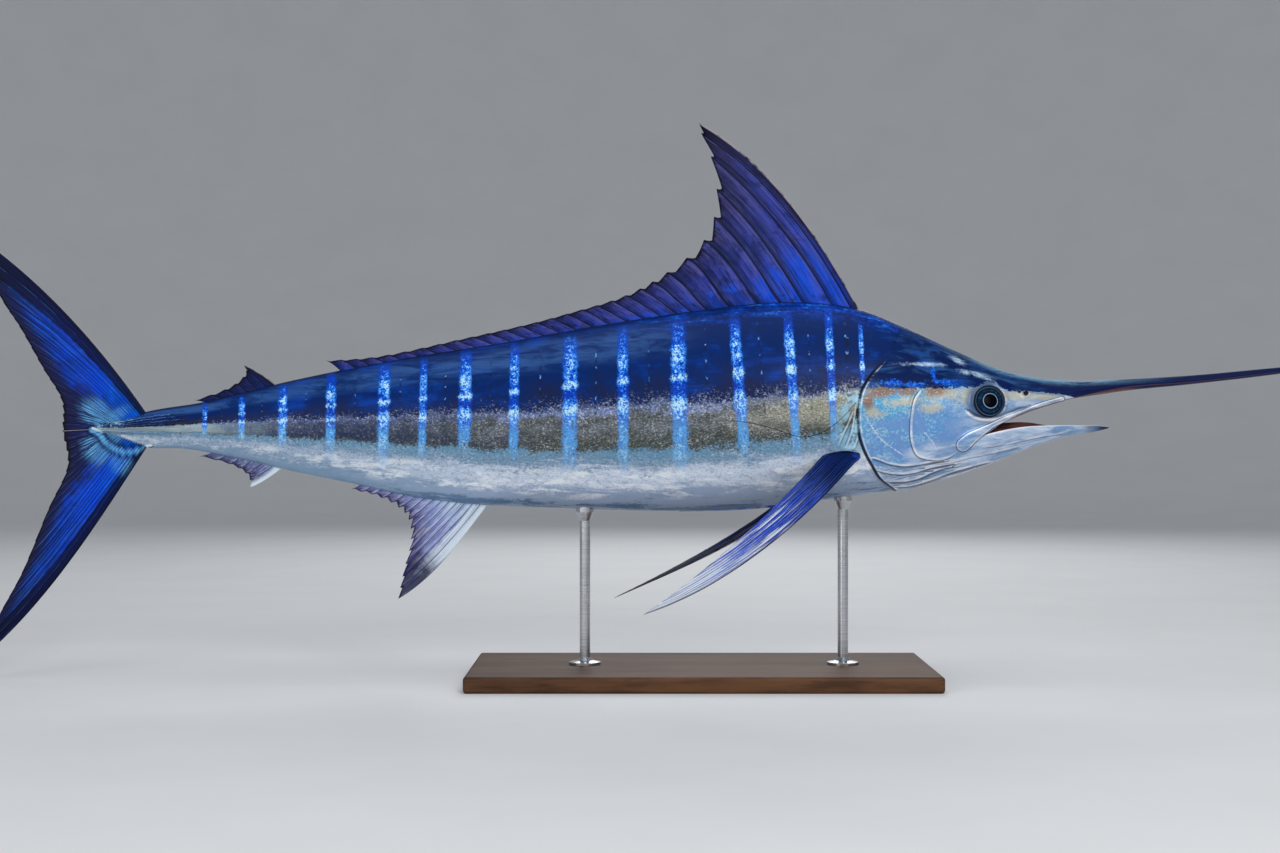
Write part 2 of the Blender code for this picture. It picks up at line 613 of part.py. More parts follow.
def side_point(tree, side, x, z):
    """Point and outward normal on one side of the body, seen at (x, z) by a viewer on that side."""
    viewer = Vector((VIEWER[0], side * VIEWER[1], VIEWER[2]))
    place, normal, _, _ = tree.ray_cast(viewer, Vector((x, 0, z)) - viewer)
    return place, normal


def swept(name, spots, widths, heights, closed=False):
    """A solid with a diamond section along spots (place, normal) on a surface, half sunk in it."""
    places = [place for place, _ in spots]
    normals = [normal for _, normal in spots]
    rings = []
    count = len(places)
    for k in range(count):
        ahead = places[(k + 1) % count if closed else min(k + 1, count - 1)]
        behind = places[(k - 1) % count if closed else max(k - 1, 0)]
        way = normals[k].cross(ahead - behind).normalized()
        middle = places[k] - normals[k] * RIDGE_SHOULDER
        rings += [
            places[k] + normals[k] * heights[k], middle + way * widths[k],
            places[k] - normals[k] * RIDGE_SUNK, middle - way * widths[k],
        ]
    faces = tube_faces(4, count)
    if closed:
        last = (count - 1) * 4
        faces += [(last + k, last + (k + 1) % 4, (k + 1) % 4, k) for k in range(4)]
    else:
        faces += [range(4), range((count - 1) * 4, count * 4)]
    return mesh_object(name, rings, faces)


def ridge(tree, side, path, width, height):
    """A raised line on one side of the body, tapered to both ends."""
    table = [(k, *point) for k, point in enumerate(path)]
    length = sum(math.dist(a, b) for a, b in zip(path, path[1:]))
    count = max(4, round(length / RIDGE_STEP) + 1)
    line = smooth(table, np.linspace(0, len(path) - 1, count))
    spots = [side_point(tree, side, x, z) for x, z in line]
    rise = np.sin(np.linspace(0.0, 1.0, count) * math.pi) ** 0.5
    swell = RIDGE_END_SHARE + (1 - RIDGE_END_SHARE) * rise
    return swept("ridge", spots, width * swell, height * swell)


def orbit_rim(tree, side):
    """The raised rim round the eye."""
    x, z = EYE_PLACE
    turns = np.linspace(0, 2 * math.pi, ORBIT_STEPS, endpoint=False)
    spots = [
        side_point(tree, side, x + ORBIT_RADIUS * math.cos(a), z + ORBIT_RADIUS * math.sin(a))
        for a in turns
    ]
    widths, heights = [ORBIT_RIM_WIDTH] * ORBIT_STEPS, [ORBIT_RIM_HEIGHT] * ORBIT_STEPS
    return swept("rim", spots, widths, heights, closed=True)


def detail_head(head):
    """Joins the bony lines of the face to the head and sinks the nostrils."""
    tree = surface(head)
    tools = []
    for side in (-1, 1):
        tools += [ridge(tree, side, *shape) for shape in HEAD_RIDGES.values()]
        tools.append(orbit_rim(tree, side))
    combine(head, tools, "UNION")
    pits = []
    for side in (-1, 1):
        for (x, z), radius in NOSTRILS:
            place, normal = side_point(tree, side, x, z)
            pits.append(ball("pit", place, normal, radius, radius, 10, 6))
    combine(head, pits, "DIFFERENCE")


def make_pelvic_fin(name, side, torso):
    """A thin blade laid back along the belly."""
    tree = surface(torso)
    spots = []
    for x in np.linspace(PELVIC_PATH[0][0], PELVIC_PATH[-1][0], PELVIC_STATIONS):
        below = Vector((x, side * float(smooth(PELVIC_PATH[::-1], x)), 0))
        spots.append(tree.ray_cast(below, Vector((0, 0, 1)))[:2])
    taper = np.linspace(1, PELVIC_TIP_SHARE, PELVIC_STATIONS)
    return swept(name, spots, PELVIC_WIDTH * taper, PELVIC_HEIGHT * taper)


def grown(obj, room):
    """A copy of the object pushed out along its normals, for cutting with that much room."""
    mesh = obj.data.copy()
    normals = [vertex.normal.copy() for vertex in mesh.vertices]
    for vertex, normal in zip(mesh.vertices, normals):
        vertex.co += normal * room
    copy = bpy.data.objects.new(obj.name + "_room", mesh)
    PIECES.objects.link(copy)
    return copy


def combine(target, tools, operation):
    """Joins tools to the target or cuts them from it; its largest closed surface stays."""
    group = bpy.data.collections.new("tools")
    CUTTERS.children.link(group)
    for tool in tools:
        PIECES.objects.unlink(tool)
        group.objects.link(tool)
    modifier = target.modifiers.new("combine", "BOOLEAN")
    modifier.operation = operation
    modifier.operand_type = "COLLECTION"
    modifier.collection = group
    modifier.solver = "EXACT"
    mesh = baked(target)
    for tool in tools:
        bpy.data.objects.remove(tool)
    bpy.data.collections.remove(group)
    keep_largest(mesh)


def keep_largest(mesh):
    """Deletes every closed surface of the mesh but the largest."""
    shape = bmesh.new()
    shape.from_mesh(mesh)
    seen, islands = set(), []
    for face in shape.faces:
        if face in seen:
            continue
        island, front = {face}, [face]
        while front:
            for edge in front.pop().edges:
                for other in edge.link_faces:
                    if other not in island:
                        island.add(other)
                        front.append(other)
        seen |= island
        islands.append(island)
    keep = max(islands, key=lambda island: sum(face.calc_area() for face in island))
    doomed = [face for island in islands if island is not keep for face in island]
    bmesh.ops.delete(shape, geom=doomed, context="FACES")
    shape.to_mesh(mesh)
    shape.free()


def seat(piece, *bodies):
    """Cuts the piece to the bodies that it grows from, with a small gap."""
    combine(piece, [grown(body, GAP) for body in bodies], "DIFFERENCE")


def ball(name, place, normal, radius, depth, segments, rings):
    """A ball flattened along the normal."""
    bpy.ops.mesh.primitive_uv_sphere_add(segments=segments, ring_count=rings, radius=1.0)
    obj = adopt(name)
    turn = normal.to_track_quat("Z", "Y").to_matrix().to_4x4()
    obj.data.transform(Matrix.Translation(place) @ turn @ Matrix.Diagonal((radius, radius, depth, 1)))
    return obj


def adopt(name):
    """Names the primitive just added and moves it to the fish's collection."""
    obj = bpy.context.object
    for collection in obj.users_collection:
        collection.objects.unlink(obj)
    PIECES.objects.link(obj)
    obj.name = name
    return obj


def eyeball(name, tree, side, room=0.0):
    """The eye in the head's side; room makes the cutter of its socket."""
    place, normal = side_point(tree, side, *EYE_PLACE)
    middle = place - normal * EYE_SUNK
    return ball(name, middle, normal, EYE_RADIUS + room, EYE_DEPTH + room, 20, 12)


def make_eyes(head, tree):
    """Both eyes, and their sockets cut in the head."""
    sides = {"eye_right": -1, "eye_left": 1}
    for name, side in sides.items():
        eyeball(name, tree, side)
    combine(head, [eyeball("socket", tree, side, GAP) for side in sides.values()], "DIFFERENCE")


def baked(obj):
    """Puts the object's modifiers into its mesh."""
    evaluated = obj.evaluated_get(bpy.context.evaluated_depsgraph_get())
    mesh = bpy.data.meshes.new_from_object(evaluated)
    obj.modifiers.clear()
    obj.data = mesh
    return mesh


def make_rod(name, x, torso):
    """A turned steel rod with a foot and a saddle, from the base up to the belly."""
    belly = float(smooth(BELLY_LINE, x))
    foot = BASE_HEIGHT + ROD_FOOT_HEIGHT
    profile = (
        (0, belly + ROD_INTO_BELLY), (ROD_SADDLE_RADIUS, belly + ROD_INTO_BELLY),
        (ROD_SADDLE_RADIUS, belly - ROD_SADDLE_LIP), (ROD_RADIUS, belly - ROD_SADDLE_HEIGHT),
        (ROD_RADIUS, foot + ROD_FILLET), (ROD_RADIUS + ROD_FILLET, foot),
        (ROD_FOOT_RADIUS, foot - ROD_FILLET / 2),
        (ROD_FOOT_RADIUS, BASE_HEIGHT + GAP), (0, BASE_HEIGHT + GAP),
    )
    mesh = bpy.data.meshes.new(name)
    mesh.from_pydata([(r, 0, z) for r, z in profile], [(k, k + 1) for k in range(len(profile) - 1)], [])
    rod = bpy.data.objects.new(name, mesh)
    PIECES.objects.link(rod)
    screw = rod.modifiers.new("turned", "SCREW")
    screw.axis = "Z"
    screw.steps = screw.render_steps = ROD_SIDES
    screw.use_merge_vertices = True
    screw.merge_threshold = 0.0001
    baked(rod).transform(Matrix.Translation((x, 0, 0)))
    seat(rod, torso)


def make_stand(torso):
    """A flat base and two turned rods up to the belly."""
    bpy.ops.mesh.primitive_cube_add(size=1.0)
    base = adopt("stand_base")
    base.data.transform(
        Matrix.Translation((BASE_MIDDLE_X, 0, BASE_HEIGHT / 2))
        @ Matrix.Diagonal((BASE_LENGTH, BASE_WIDTH, BASE_HEIGHT, 1)))
    rounding = base.modifiers.new("rounding", "BEVEL")
    rounding.width = BASE_ROUNDING
    rounding.segments = 3
    for name, x in ROD_X.items():
        make_rod(name, x, torso)


def paint(obj):
    """Gives the object its own material, from the finish of its kind."""
    kind = max((name for name in FINISHES if name in obj.name), key=len)
    colour, roughness, metallic = FINISHES[kind]
    material = bpy.data.materials.new(obj.name)
    material.use_nodes = True
    shader = material.node_tree.nodes["Principled BSDF"]
    shader.inputs["Base Color"].default_value = (*colour, 1)
    shader.inputs["Roughness"].default_value = roughness
    shader.inputs["Metallic"].default_value = metallic
    obj.data.materials.clear()
    obj.data.materials.append(material)


def build():
    """Makes every piece and cuts each fin to the body that carries it."""
    torso, tail, head = make_torso(), make_tail(), make_head()
    head_tree = surface(head)
    detail_head(head)
    make_eyes(head, head_tree)
    jaw = make_lower_jaw()
    jaw_tree = surface(jaw)
    combine(jaw, [ridge(jaw_tree, side, *LIP_RIDGE) for side in (-1, 1)], "UNION")
    make_bill()
    tail_tree = surface(tail)
    combine(tail, [ridge(tail_tree, side, *keel) for side in (-1, 1) for keel in TAIL_KEELS], "UNION")
    lobe, low_part = make_dorsal_fin()
    seat(low_part, lobe, torso, tail)
    seat(lobe, torso)
    for fin in make_caudal_fin():
        seat(fin, tail)
    seat(flat_fin("second_dorsal_fin", "second_dorsal_fin", SECOND_DORSAL_RAYS), tail)
    seat(flat_fin("anal_fin", "anal_fin", ANAL_RAYS), torso)
    seat(flat_fin("second_anal_fin", "second_anal_fin", SECOND_ANAL_RAYS), tail)
    for name, shape in PECTORALS.items():
        seat(make_pectoral_fin(name, *shape), torso)
    for name, side in (("pelvic_fin_right", -1), ("pelvic_fin_left", 1)):
        seat(make_pelvic_fin(name, side, torso), torso)
    make_stand(torso)
    for obj in PIECES.objects:
        paint(obj)
        obj.data.shade_smooth()
        obj.data.set_sharp_from_angle(angle=math.radians(SHARP_ANGLE))


for old in list(bpy.data.objects):
    bpy.data.objects.remove(old)
PIECES = bpy.data.collections.new("striped_marlin")
CUTTERS = bpy.data.collections.new("cutters")
bpy.context.scene.collection.children.link(PIECES)
bpy.context.scene.collection.children.link(CUTTERS)
build()
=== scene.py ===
import math
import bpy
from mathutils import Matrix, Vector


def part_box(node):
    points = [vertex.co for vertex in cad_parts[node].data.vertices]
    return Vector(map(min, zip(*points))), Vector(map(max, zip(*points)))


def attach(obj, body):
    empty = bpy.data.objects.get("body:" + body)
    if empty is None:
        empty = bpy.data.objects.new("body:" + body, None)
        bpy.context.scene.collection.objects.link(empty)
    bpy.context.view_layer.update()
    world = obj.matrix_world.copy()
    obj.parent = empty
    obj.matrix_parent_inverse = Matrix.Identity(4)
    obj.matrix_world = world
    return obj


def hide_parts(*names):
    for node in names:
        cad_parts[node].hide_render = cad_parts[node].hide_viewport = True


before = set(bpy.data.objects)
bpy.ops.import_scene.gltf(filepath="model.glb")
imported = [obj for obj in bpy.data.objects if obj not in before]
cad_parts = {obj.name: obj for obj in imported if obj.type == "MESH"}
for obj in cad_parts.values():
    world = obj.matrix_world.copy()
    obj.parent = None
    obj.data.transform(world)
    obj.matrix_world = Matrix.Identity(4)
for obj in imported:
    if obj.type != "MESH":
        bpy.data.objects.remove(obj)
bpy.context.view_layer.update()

import types

import bmesh
import bpy
import numpy as np
from mathutils import Vector

# Everything is in metres in the frame of the solids: +X to the bill's tip, +Y to the fish's left, +Z up.
# Places on the fish's side are given in pixels of the photo; side() turns them into metres.
cameraSet = {"place": (-0.0304, -4.0, 0.4817), "viewWidth": 2.432, "sensor": 36.0}
photoScale = {"metresPerPixel": 0.0019, "middleX": 656.0, "floorY": 680.0}


def side(*spots):
    # (x, z) of photo pixels: distance from the middle column and from the floor row, times the scale
    table = np.array(spots, float)
    x = (table[:, 0] - photoScale["middleX"]) * photoScale["metresPerPixel"]
    z = (photoScale["floorY"] - table[:, 1]) * photoScale["metresPerPixel"]
    return np.column_stack([x, z])


def seen(points):
    # (x, z) at which the camera sees a point, drawn on the fish's middle plane: its offset from the view's
    # middle grows as the point comes nearer; both sides of the fish are taken alike
    eyeX, far, eyeZ = cameraSet["place"][0], -cameraSet["place"][1], cameraSet["place"][2]
    growth = far / (far - np.abs(points[..., 1]))
    return np.stack([eyeX + (points[..., 0] - eyeX) * growth, eyeZ + (points[..., 2] - eyeZ) * growth], axis=-1)


def curve(points, at):
    # smooth curve through rows of (place, value, ...): cubic pieces whose slopes at the points are
    # the weighted mean of the slopes on each side
    table = np.array(points, float)
    where, values = table[:, 0], table[:, 1:]
    steps = np.diff(where)[:, None]
    slopes = np.diff(values, axis=0) / steps
    bends = np.vstack([slopes[:1], slopes, slopes[-1:]])
    reach = np.vstack([steps[:1], steps, steps[-1:]])
    tangents = (bends[:-1] * reach[1:] + bends[1:] * reach[:-1]) / (reach[:-1] + reach[1:])
    at = np.clip(np.asarray(at, float), where[0], where[-1])
    cell = np.clip(np.searchsorted(where, at, side="right") - 1, 0, len(where) - 2)
    step = steps[cell]
    t = (at - where[cell])[..., None] / step
    result = (
        (2 * t**3 - 3 * t**2 + 1) * values[cell] + (t**3 - 2 * t**2 + t) * step * tangents[cell]
        + (3 * t**2 - 2 * t**3) * values[cell + 1] + (t**3 - t**2) * step * tangents[cell + 1]
    )
    return result[..., 0] if result.shape[-1] == 1 else result


def easeStep(value, low, high):
    # 0 below low, 1 above high, with a smooth S between
    share = np.clip((value - low) / (high - low), 0, 1)
    return share * share * (3 - 2 * share)


def signedPower(value, power):
    return np.sign(value) * np.abs(value) ** power


def unit(vectors):
    return vectors / np.maximum(np.linalg.norm(vectors, axis=-1, keepdims=True), 1e-12)


# Mesh and grid helpers

def placed(x, y, z):
    return np.stack(np.broadcast_arrays(x, y, z), axis=-1)


def gridFaces(index, closed=False):
    # quads between the rows of a grid of vertex numbers; closed joins the last column to the first
    if closed:
        index = np.concatenate([index, index[:, :1]], axis=1)
    return np.stack([index[:-1, :-1], index[:-1, 1:], index[1:, 1:], index[1:, :-1]], axis=-1).reshape(-1, 4)


def poleFaces(ring, pole):
    # triangles from a ring of vertex numbers to one vertex
    return np.stack([ring, np.roll(ring, -1), np.full(len(ring), pole)], axis=-1)


def closedRings(grid, *poles):
    # points and faces of a grid of rings, closed by a pole at the first ring and perhaps one at the last
    index = np.arange(grid[..., 0].size).reshape(grid.shape[:2])
    triangles = np.vstack([poleFaces(index[-k], index.size + k) for k in range(len(poles))])
    return np.vstack([grid.reshape(-1, 3), *poles]), gridFaces(index, True), triangles


def gridNormals(grid, closed=False):
    # outward direction: cross product of the steps along the rows and along the columns
    alongRows = np.gradient(grid, axis=0)
    if closed:
        acrossRows = np.roll(grid, -1, axis=1) - np.roll(grid, 1, axis=1)
    else:
        acrossRows = np.gradient(grid, axis=1)
    return unit(np.cross(alongRows, acrossRows))


def makePiece(name, points, quads, triangles=(), values=None, nodes=(), material=None):
    # a mesh from arrays, with its values kept as point attributes, riding on the fish
    mesh = bpy.data.meshes.new(name)
    mesh.from_pydata(points.tolist(), [], [*np.asarray(quads).tolist(), *np.asarray(triangles).tolist()])
    shape = bmesh.new()
    shape.from_mesh(mesh)
    bmesh.ops.recalc_face_normals(shape, faces=shape.faces)
    shape.to_mesh(mesh)
    shape.free()
    for key, value in (values or {}).items():
        layer = mesh.attributes.new(key, "FLOAT", "POINT")
        layer.data.foreach_set("value", np.ascontiguousarray(value, dtype=np.float32))
    mesh.shade_smooth()
    piece = bpy.data.objects.new(name, mesh)
    bpy.context.scene.collection.objects.link(piece)
    if material:
        mesh.materials.append(material)
    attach(piece, "root")
    if nodes:
        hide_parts(*nodes)
    return piece


# Node helpers. They all add to the tree that is in work, the last one begun.

work = {"tree": None}


def feed(socket, value):
    if isinstance(value, bpy.types.NodeSocket):
        work["tree"].links.new(value, socket)
    else:
        socket.default_value = (*value, 1) if socket.type == "RGBA" else value


def node(kind, values, out=0, **settings):
    # a node with its settings and with values for its inputs, in order or by key; gives one output
    made = work["tree"].nodes.new("ShaderNode" + kind)
    for key, value in settings.items():
        setattr(made, key, value)
    for key, value in values.items() if isinstance(values, dict) else enumerate(values):
        feed(made.inputs[key], value)
    return made.outputs[out]


def calc(operation, *values, clamp=False):
    return node("Math", values, operation=operation, use_clamp=clamp)


def mixColour(share, first, second):
    return node("Mix", {0: share, 6: first, 7: second}, 2, data_type="RGBA")


def grade(value, low, high, first=0.0, last=1.0):
    # smooth step of a value from low to high
    return node("MapRange", (value, low, high, first, last), interpolation_type="SMOOTHSTEP")


def ramp(value, stops):
    # colour stops of (position, colour)
    colour = node("ValToRGB", (value,))
    elements = colour.node.color_ramp.elements
    while len(elements) < len(stops):
        elements.new(0.5)
    for element, (position, shade) in zip(elements, stops):
        element.position, element.color = position, (*shade, 1)
    return colour


def point(scale=(1, 1, 1)):
    # object coordinates, stretched
    return node("Mapping", {"Vector": node("TexCoord", (), "Object"), "Scale": scale})


def noise(vector, scale, detail=3.0, roughness=0.55, distortion=0.0):
    return node("TexNoise", {"Vector": vector, "Scale": scale, "Detail": detail, "Roughness": roughness,
                             "Distortion": distortion})


def joined(x, y, z):
    return node("CombineXYZ", (x, y, z))


def kept(name):
    # a value stored on the piece's vertices
    return node("Attribute", (), "Fac", attribute_name=name)


def both(*masks):
    # product of masks
    product = masks[0]
    for mask in masks[1:]:
        product = calc("MULTIPLY", product, mask)
    return product


def most(*masks):
    # largest of masks
    largest = masks[0]
    for mask in masks[1:]:
        largest = calc("MAXIMUM", largest, mask)
    return largest


def rest(share):
    return calc("SUBTRACT", 1.0, share)


def scaled(value, amount, start):
    return calc("MULTIPLY_ADD", value, amount, start)


class Layers:
    # colours laid over one another, each where all its masks are 1
    def __init__(self, colour):
        self.shade = colour

    def add(self, colour, *masks):
        self.shade = mixColour(both(*masks), self.shade, colour)


def lineMask(value, middle, halfWidth, soft):
    # 1 within halfWidth of the middle value, falling to 0 over the soft edge
    return grade(calc("ABSOLUTE", calc("SUBTRACT", value, middle)), halfWidth + soft, halfWidth)


def wandering(value, *parts):
    # a value moved by noises about their middle, each by its amount
    for pattern, amount in parts:
        value = calc("MULTIPLY_ADD", calc("SUBTRACT", pattern, 0.5), amount, value)
    return value


def fromWhole(value):
    # distance of a value from the nearest whole number
    fraction = calc("FRACT", value)
    return calc("MINIMUM", fraction, rest(fraction))


def newMaterial(name):
    material = bpy.data.materials.new(name)
    material.use_nodes = True
    work["tree"] = material.node_tree
    return material


def finish(material, colour, roughness, bumps=(), **constants):
    # the Principled shader of a material; bumps are (height, strength, distance), coarse first
    shader = material.node_tree.nodes["Principled BSDF"]
    inputs = {"Base Color": colour, "Roughness": roughness}
    inputs.update({key.replace("_", " "): value for key, value in constants.items()})
    for height, strength, distance in bumps:
        values = {"Strength": strength, "Distance": distance, "Height": height}
        if "Normal" in inputs:
            values["Normal"] = inputs["Normal"]
        inputs["Normal"] = node("Bump", values)
    for key, value in inputs.items():
        feed(shader.inputs[key], value)
    return material


# Camera

def makeCamera():
    data = bpy.data.cameras.new("photoView")
    data.sensor_width = cameraSet["sensor"]
    data.lens = cameraSet["sensor"] * -cameraSet["place"][1] / cameraSet["viewWidth"]
    data.clip_end = 100
    view = bpy.data.objects.new("photoView", data)
    view.location = cameraSet["place"]
    view.rotation_euler = (math.pi / 2, 0, 0)
    bpy.context.scene.collection.objects.link(view)
    bpy.context.scene.camera = view


# Floor and light

stage = {
    "flatRadius": 7.0, "wallRadius": 12.0, "wallHeight": 7.0, "sides": 96, "flatRings": 7, "wallRings": 24,
    "colour": (0.8, 0.81, 0.82),
    "lights": {
        "skyPanel": {"place": (0.2, -0.8, 4.2), "aim": (0.0, 0.0, 0.5), "size": 3.4, "power": 48},
        "keyPanel": {"place": (1.6, -5.0, 2.6), "aim": (0.1, 0.0, 0.5), "size": 2.0, "power": 105},
        "fillPanel": {"place": (-3.0, -4.4, 1.4), "aim": (-0.3, 0.0, 0.5), "size": 2.4, "power": 50},
        "backPanel": {"place": (0.5, 4.5, 3.0), "aim": (0.0, 0.0, 0.5), "size": 2.4, "power": 60},
    },
    "world": ((0.72, 0.76, 0.82), 0.38),
}


def makeStage():
    # a flat floor that rises all round in a quarter ellipse: radius and height by sine and cosine
    turn = np.linspace(0, math.pi / 2, stage["wallRings"])
    reach = stage["wallRadius"] - stage["flatRadius"]
    radius = np.concatenate([np.linspace(0.5, stage["flatRadius"], stage["flatRings"] + 1)[:-1],
                             stage["flatRadius"] + reach * np.sin(turn)])
    height = np.concatenate([np.zeros(stage["flatRings"]), stage["wallHeight"] * (1 - np.cos(turn))])
    angle = np.linspace(0, 2 * math.pi, stage["sides"], endpoint=False)
    grid = placed(radius[:, None] * np.cos(angle), radius[:, None] * np.sin(angle), height[:, None])
    points, quads, triangles = closedRings(grid, [0, 0, 0])
    mesh = bpy.data.meshes.new("floor")
    mesh.from_pydata(points.tolist(), [], [*quads.tolist(), *triangles[:, ::-1].tolist()])
    mesh.shade_smooth()
    floor = bpy.data.objects.new("floor", mesh)
    bpy.context.scene.collection.objects.link(floor)
    paper = newMaterial("paleFloor")
    grain = noise(point(), 3.0, 4)
    shade = mixColour(grade(grain, 0.3, 0.7), stage["colour"], tuple(0.97 * c for c in stage["colour"]))
    finish(paper, shade, 0.75)
    mesh.materials.append(paper)
    for name, lamp in stage["lights"].items():
        data = bpy.data.lights.new(name, "AREA")
        data.energy = lamp["power"]
        data.size = lamp["size"]
        light = bpy.data.objects.new(name, data)
        light.location = lamp["place"]
        aim = Vector(lamp["aim"]) - Vector(lamp["place"])
        light.rotation_euler = aim.to_track_quat("-Z", "Y").to_euler()
        bpy.context.scene.collection.objects.link(light)
    world = bpy.data.worlds.new("softSky")
    world.use_nodes = True
    background = world.node_tree.nodes["Background"]
    background.inputs[0].default_value = (*stage["world"][0], 1)
    background.inputs[1].default_value = stage["world"][1]
    bpy.context.scene.world = world
    bpy.context.scene.view_settings.view_transform = "Standard"


# Body: side outline and sections, the same values as the solids

body = {
    "back": (
        (-1.07, 0.482), (-1.04, 0.489), (-0.967, 0.51), (-0.859, 0.528), (-0.709, 0.565),
        (-0.591, 0.59), (-0.448, 0.616), (-0.296, 0.64), (-0.106, 0.674), (0.084, 0.703),
        (0.236, 0.718), (0.312, 0.716), (0.388, 0.704), (0.464, 0.673), (0.578, 0.621),
        (0.654, 0.589), (0.73, 0.573), (0.806, 0.568), (0.88, 0.571), (1.007, 0.578),
        (1.186, 0.594), (1.322, 0.605)),
    "belly": (
        (-1.07, 0.474), (-1.04, 0.466), (-0.967, 0.442), (-0.904, 0.44), (-0.79, 0.42),
        (-0.701, 0.399), (-0.57, 0.372), (-0.448, 0.346), (-0.334, 0.333), (-0.182, 0.327),
        (-0.03, 0.322), (0.084, 0.322), (0.236, 0.332), (0.369, 0.349), (0.464, 0.363),
        (0.54, 0.38), (0.616, 0.404), (0.692, 0.434), (0.768, 0.46), (0.844, 0.474),
        (0.859, 0.478)),
    "widest": (
        (-1.07, 0.478), (-0.967, 0.478), (-0.859, 0.481), (-0.701, 0.486), (-0.57, 0.492),
        (-0.391, 0.498), (-0.106, 0.511), (0.084, 0.519), (0.274, 0.522), (0.388, 0.521),
        (0.502, 0.513), (0.625, 0.517), (0.692, 0.528), (0.745, 0.54), (0.806, 0.55),
        (0.88, 0.56), (1.007, 0.569), (1.186, 0.588), (1.322, 0.6035)),
    "halfWidth": (
        (-1.07, 0.007), (-1.04, 0.011), (-0.967, 0.0185), (-0.859, 0.025), (-0.7, 0.036),
        (-0.57, 0.047), (-0.45, 0.058), (-0.3, 0.072), (-0.1, 0.086), (0.08, 0.095),
        (0.24, 0.098), (0.39, 0.094), (0.46, 0.089), (0.54, 0.078), (0.6, 0.066),
        (0.64, 0.0585), (0.7, 0.046), (0.75, 0.036), (0.806, 0.027), (0.88, 0.0185),
        (1.007, 0.0128), (1.186, 0.0082), (1.322, 0.0028)),
    "backPower": 1.75, "bellyPower": 2.05,
    "gillEdge": (
        (0.35, 0.464), (0.364, 0.448), (0.381, 0.424), (0.408, 0.404), (0.438, 0.387),
        (0.475, 0.376), (0.512, 0.375), (0.549, 0.382), (0.578, 0.4), (0.603, 0.4225),
        (0.64, 0.445), (0.69, 0.4675)),
    "shoulderX": 0.3, "tailX": -1.07, "mouthX": 0.615, "billX": 0.88, "billTipX": 1.322, "jawTipX": 0.859,
    "upperLip": (
        (0.615, 0.466), (0.657, 0.492), (0.6885, 0.506), (0.738, 0.522), (0.801, 0.538),
        (0.841, 0.547), (0.88, 0.5545), (1.007, 0.5655), (1.186, 0.5855), (1.322, 0.6028)),
    "muzzleKeel": (
        (0.615, 0.4035), (0.69, 0.452), (0.75, 0.49), (0.806, 0.523), (0.88, 0.548),
        (1.007, 0.561), (1.186, 0.582), (1.322, 0.602)),
    "roof": (
        (0.615, 0.478), (0.657, 0.5), (0.74, 0.525), (0.806, 0.537), (0.844, 0.5425),
        (0.88, 0.548), (1.007, 0.561), (1.186, 0.582), (1.322, 0.602)),
    "lowerLip": (
        (0.615, 0.466), (0.645, 0.4735), (0.689, 0.481), (0.743, 0.4838), (0.802, 0.4838),
        (0.842, 0.4828), (0.859, 0.4805)),
    "jawLevel": (
        (0.615, 0.516), (0.652, 0.506), (0.694, 0.495), (0.75, 0.4885), (0.806, 0.486),
        (0.844, 0.4845), (0.859, 0.4815)),
    "jawHalfWidth": (
        (0.615, 0.063), (0.652, 0.055), (0.694, 0.0445), (0.75, 0.033), (0.806, 0.0215),
        (0.844, 0.0115), (0.859, 0.0045)),
    "jawHollow": ((0.615, 0.012), (0.69, 0.011), (0.8, 0.006), (0.859, 0.001)),
    "tongue": ((0.615, 0.021), (0.65, 0.0225), (0.7, 0.0185), (0.745, 0.0085), (0.78, 0.0), (0.859, 0.0)),
    "mouthDepth": 0.05, "cornerZ": 0.466,
}

skin = {
    "columnsToLip": 58, "columnsBelowLip": 30, "roofColumns": 21,
    "bodyRows": 172, "shoulderRows": 36, "headRows": 108, "jawRows": 112, "billRows": 72, "lowerJawRows": 96,
    # the free edge of the gill cover from the shoulder to the cover: metres ahead and outwards
    "gillFold": (
        (-0.004, -0.0005), (-0.0015, -0.0014), (0.001, -0.0022), (0.004, -0.0026), (0.006, -0.0018),
        (0.006, -0.0004), (0.003, 0.0008), (0.0005, 0.0016), (-0.0005, 0.0024), (-0.0004, 0.0034),
        (0.0006, 0.0042), (0.003, 0.0046)),
    # metres ahead where the fold is closed, at the top of the cover
    "closedFold": (-0.004, 0.003),
    "gillTop": 0.602, "gillFade": 0.035, "closedLeast": 0.35, "coverSwell": 0.0046, "coverReach": 0.11,
    "dip": 0.001, "dipReach": 0.05,
}

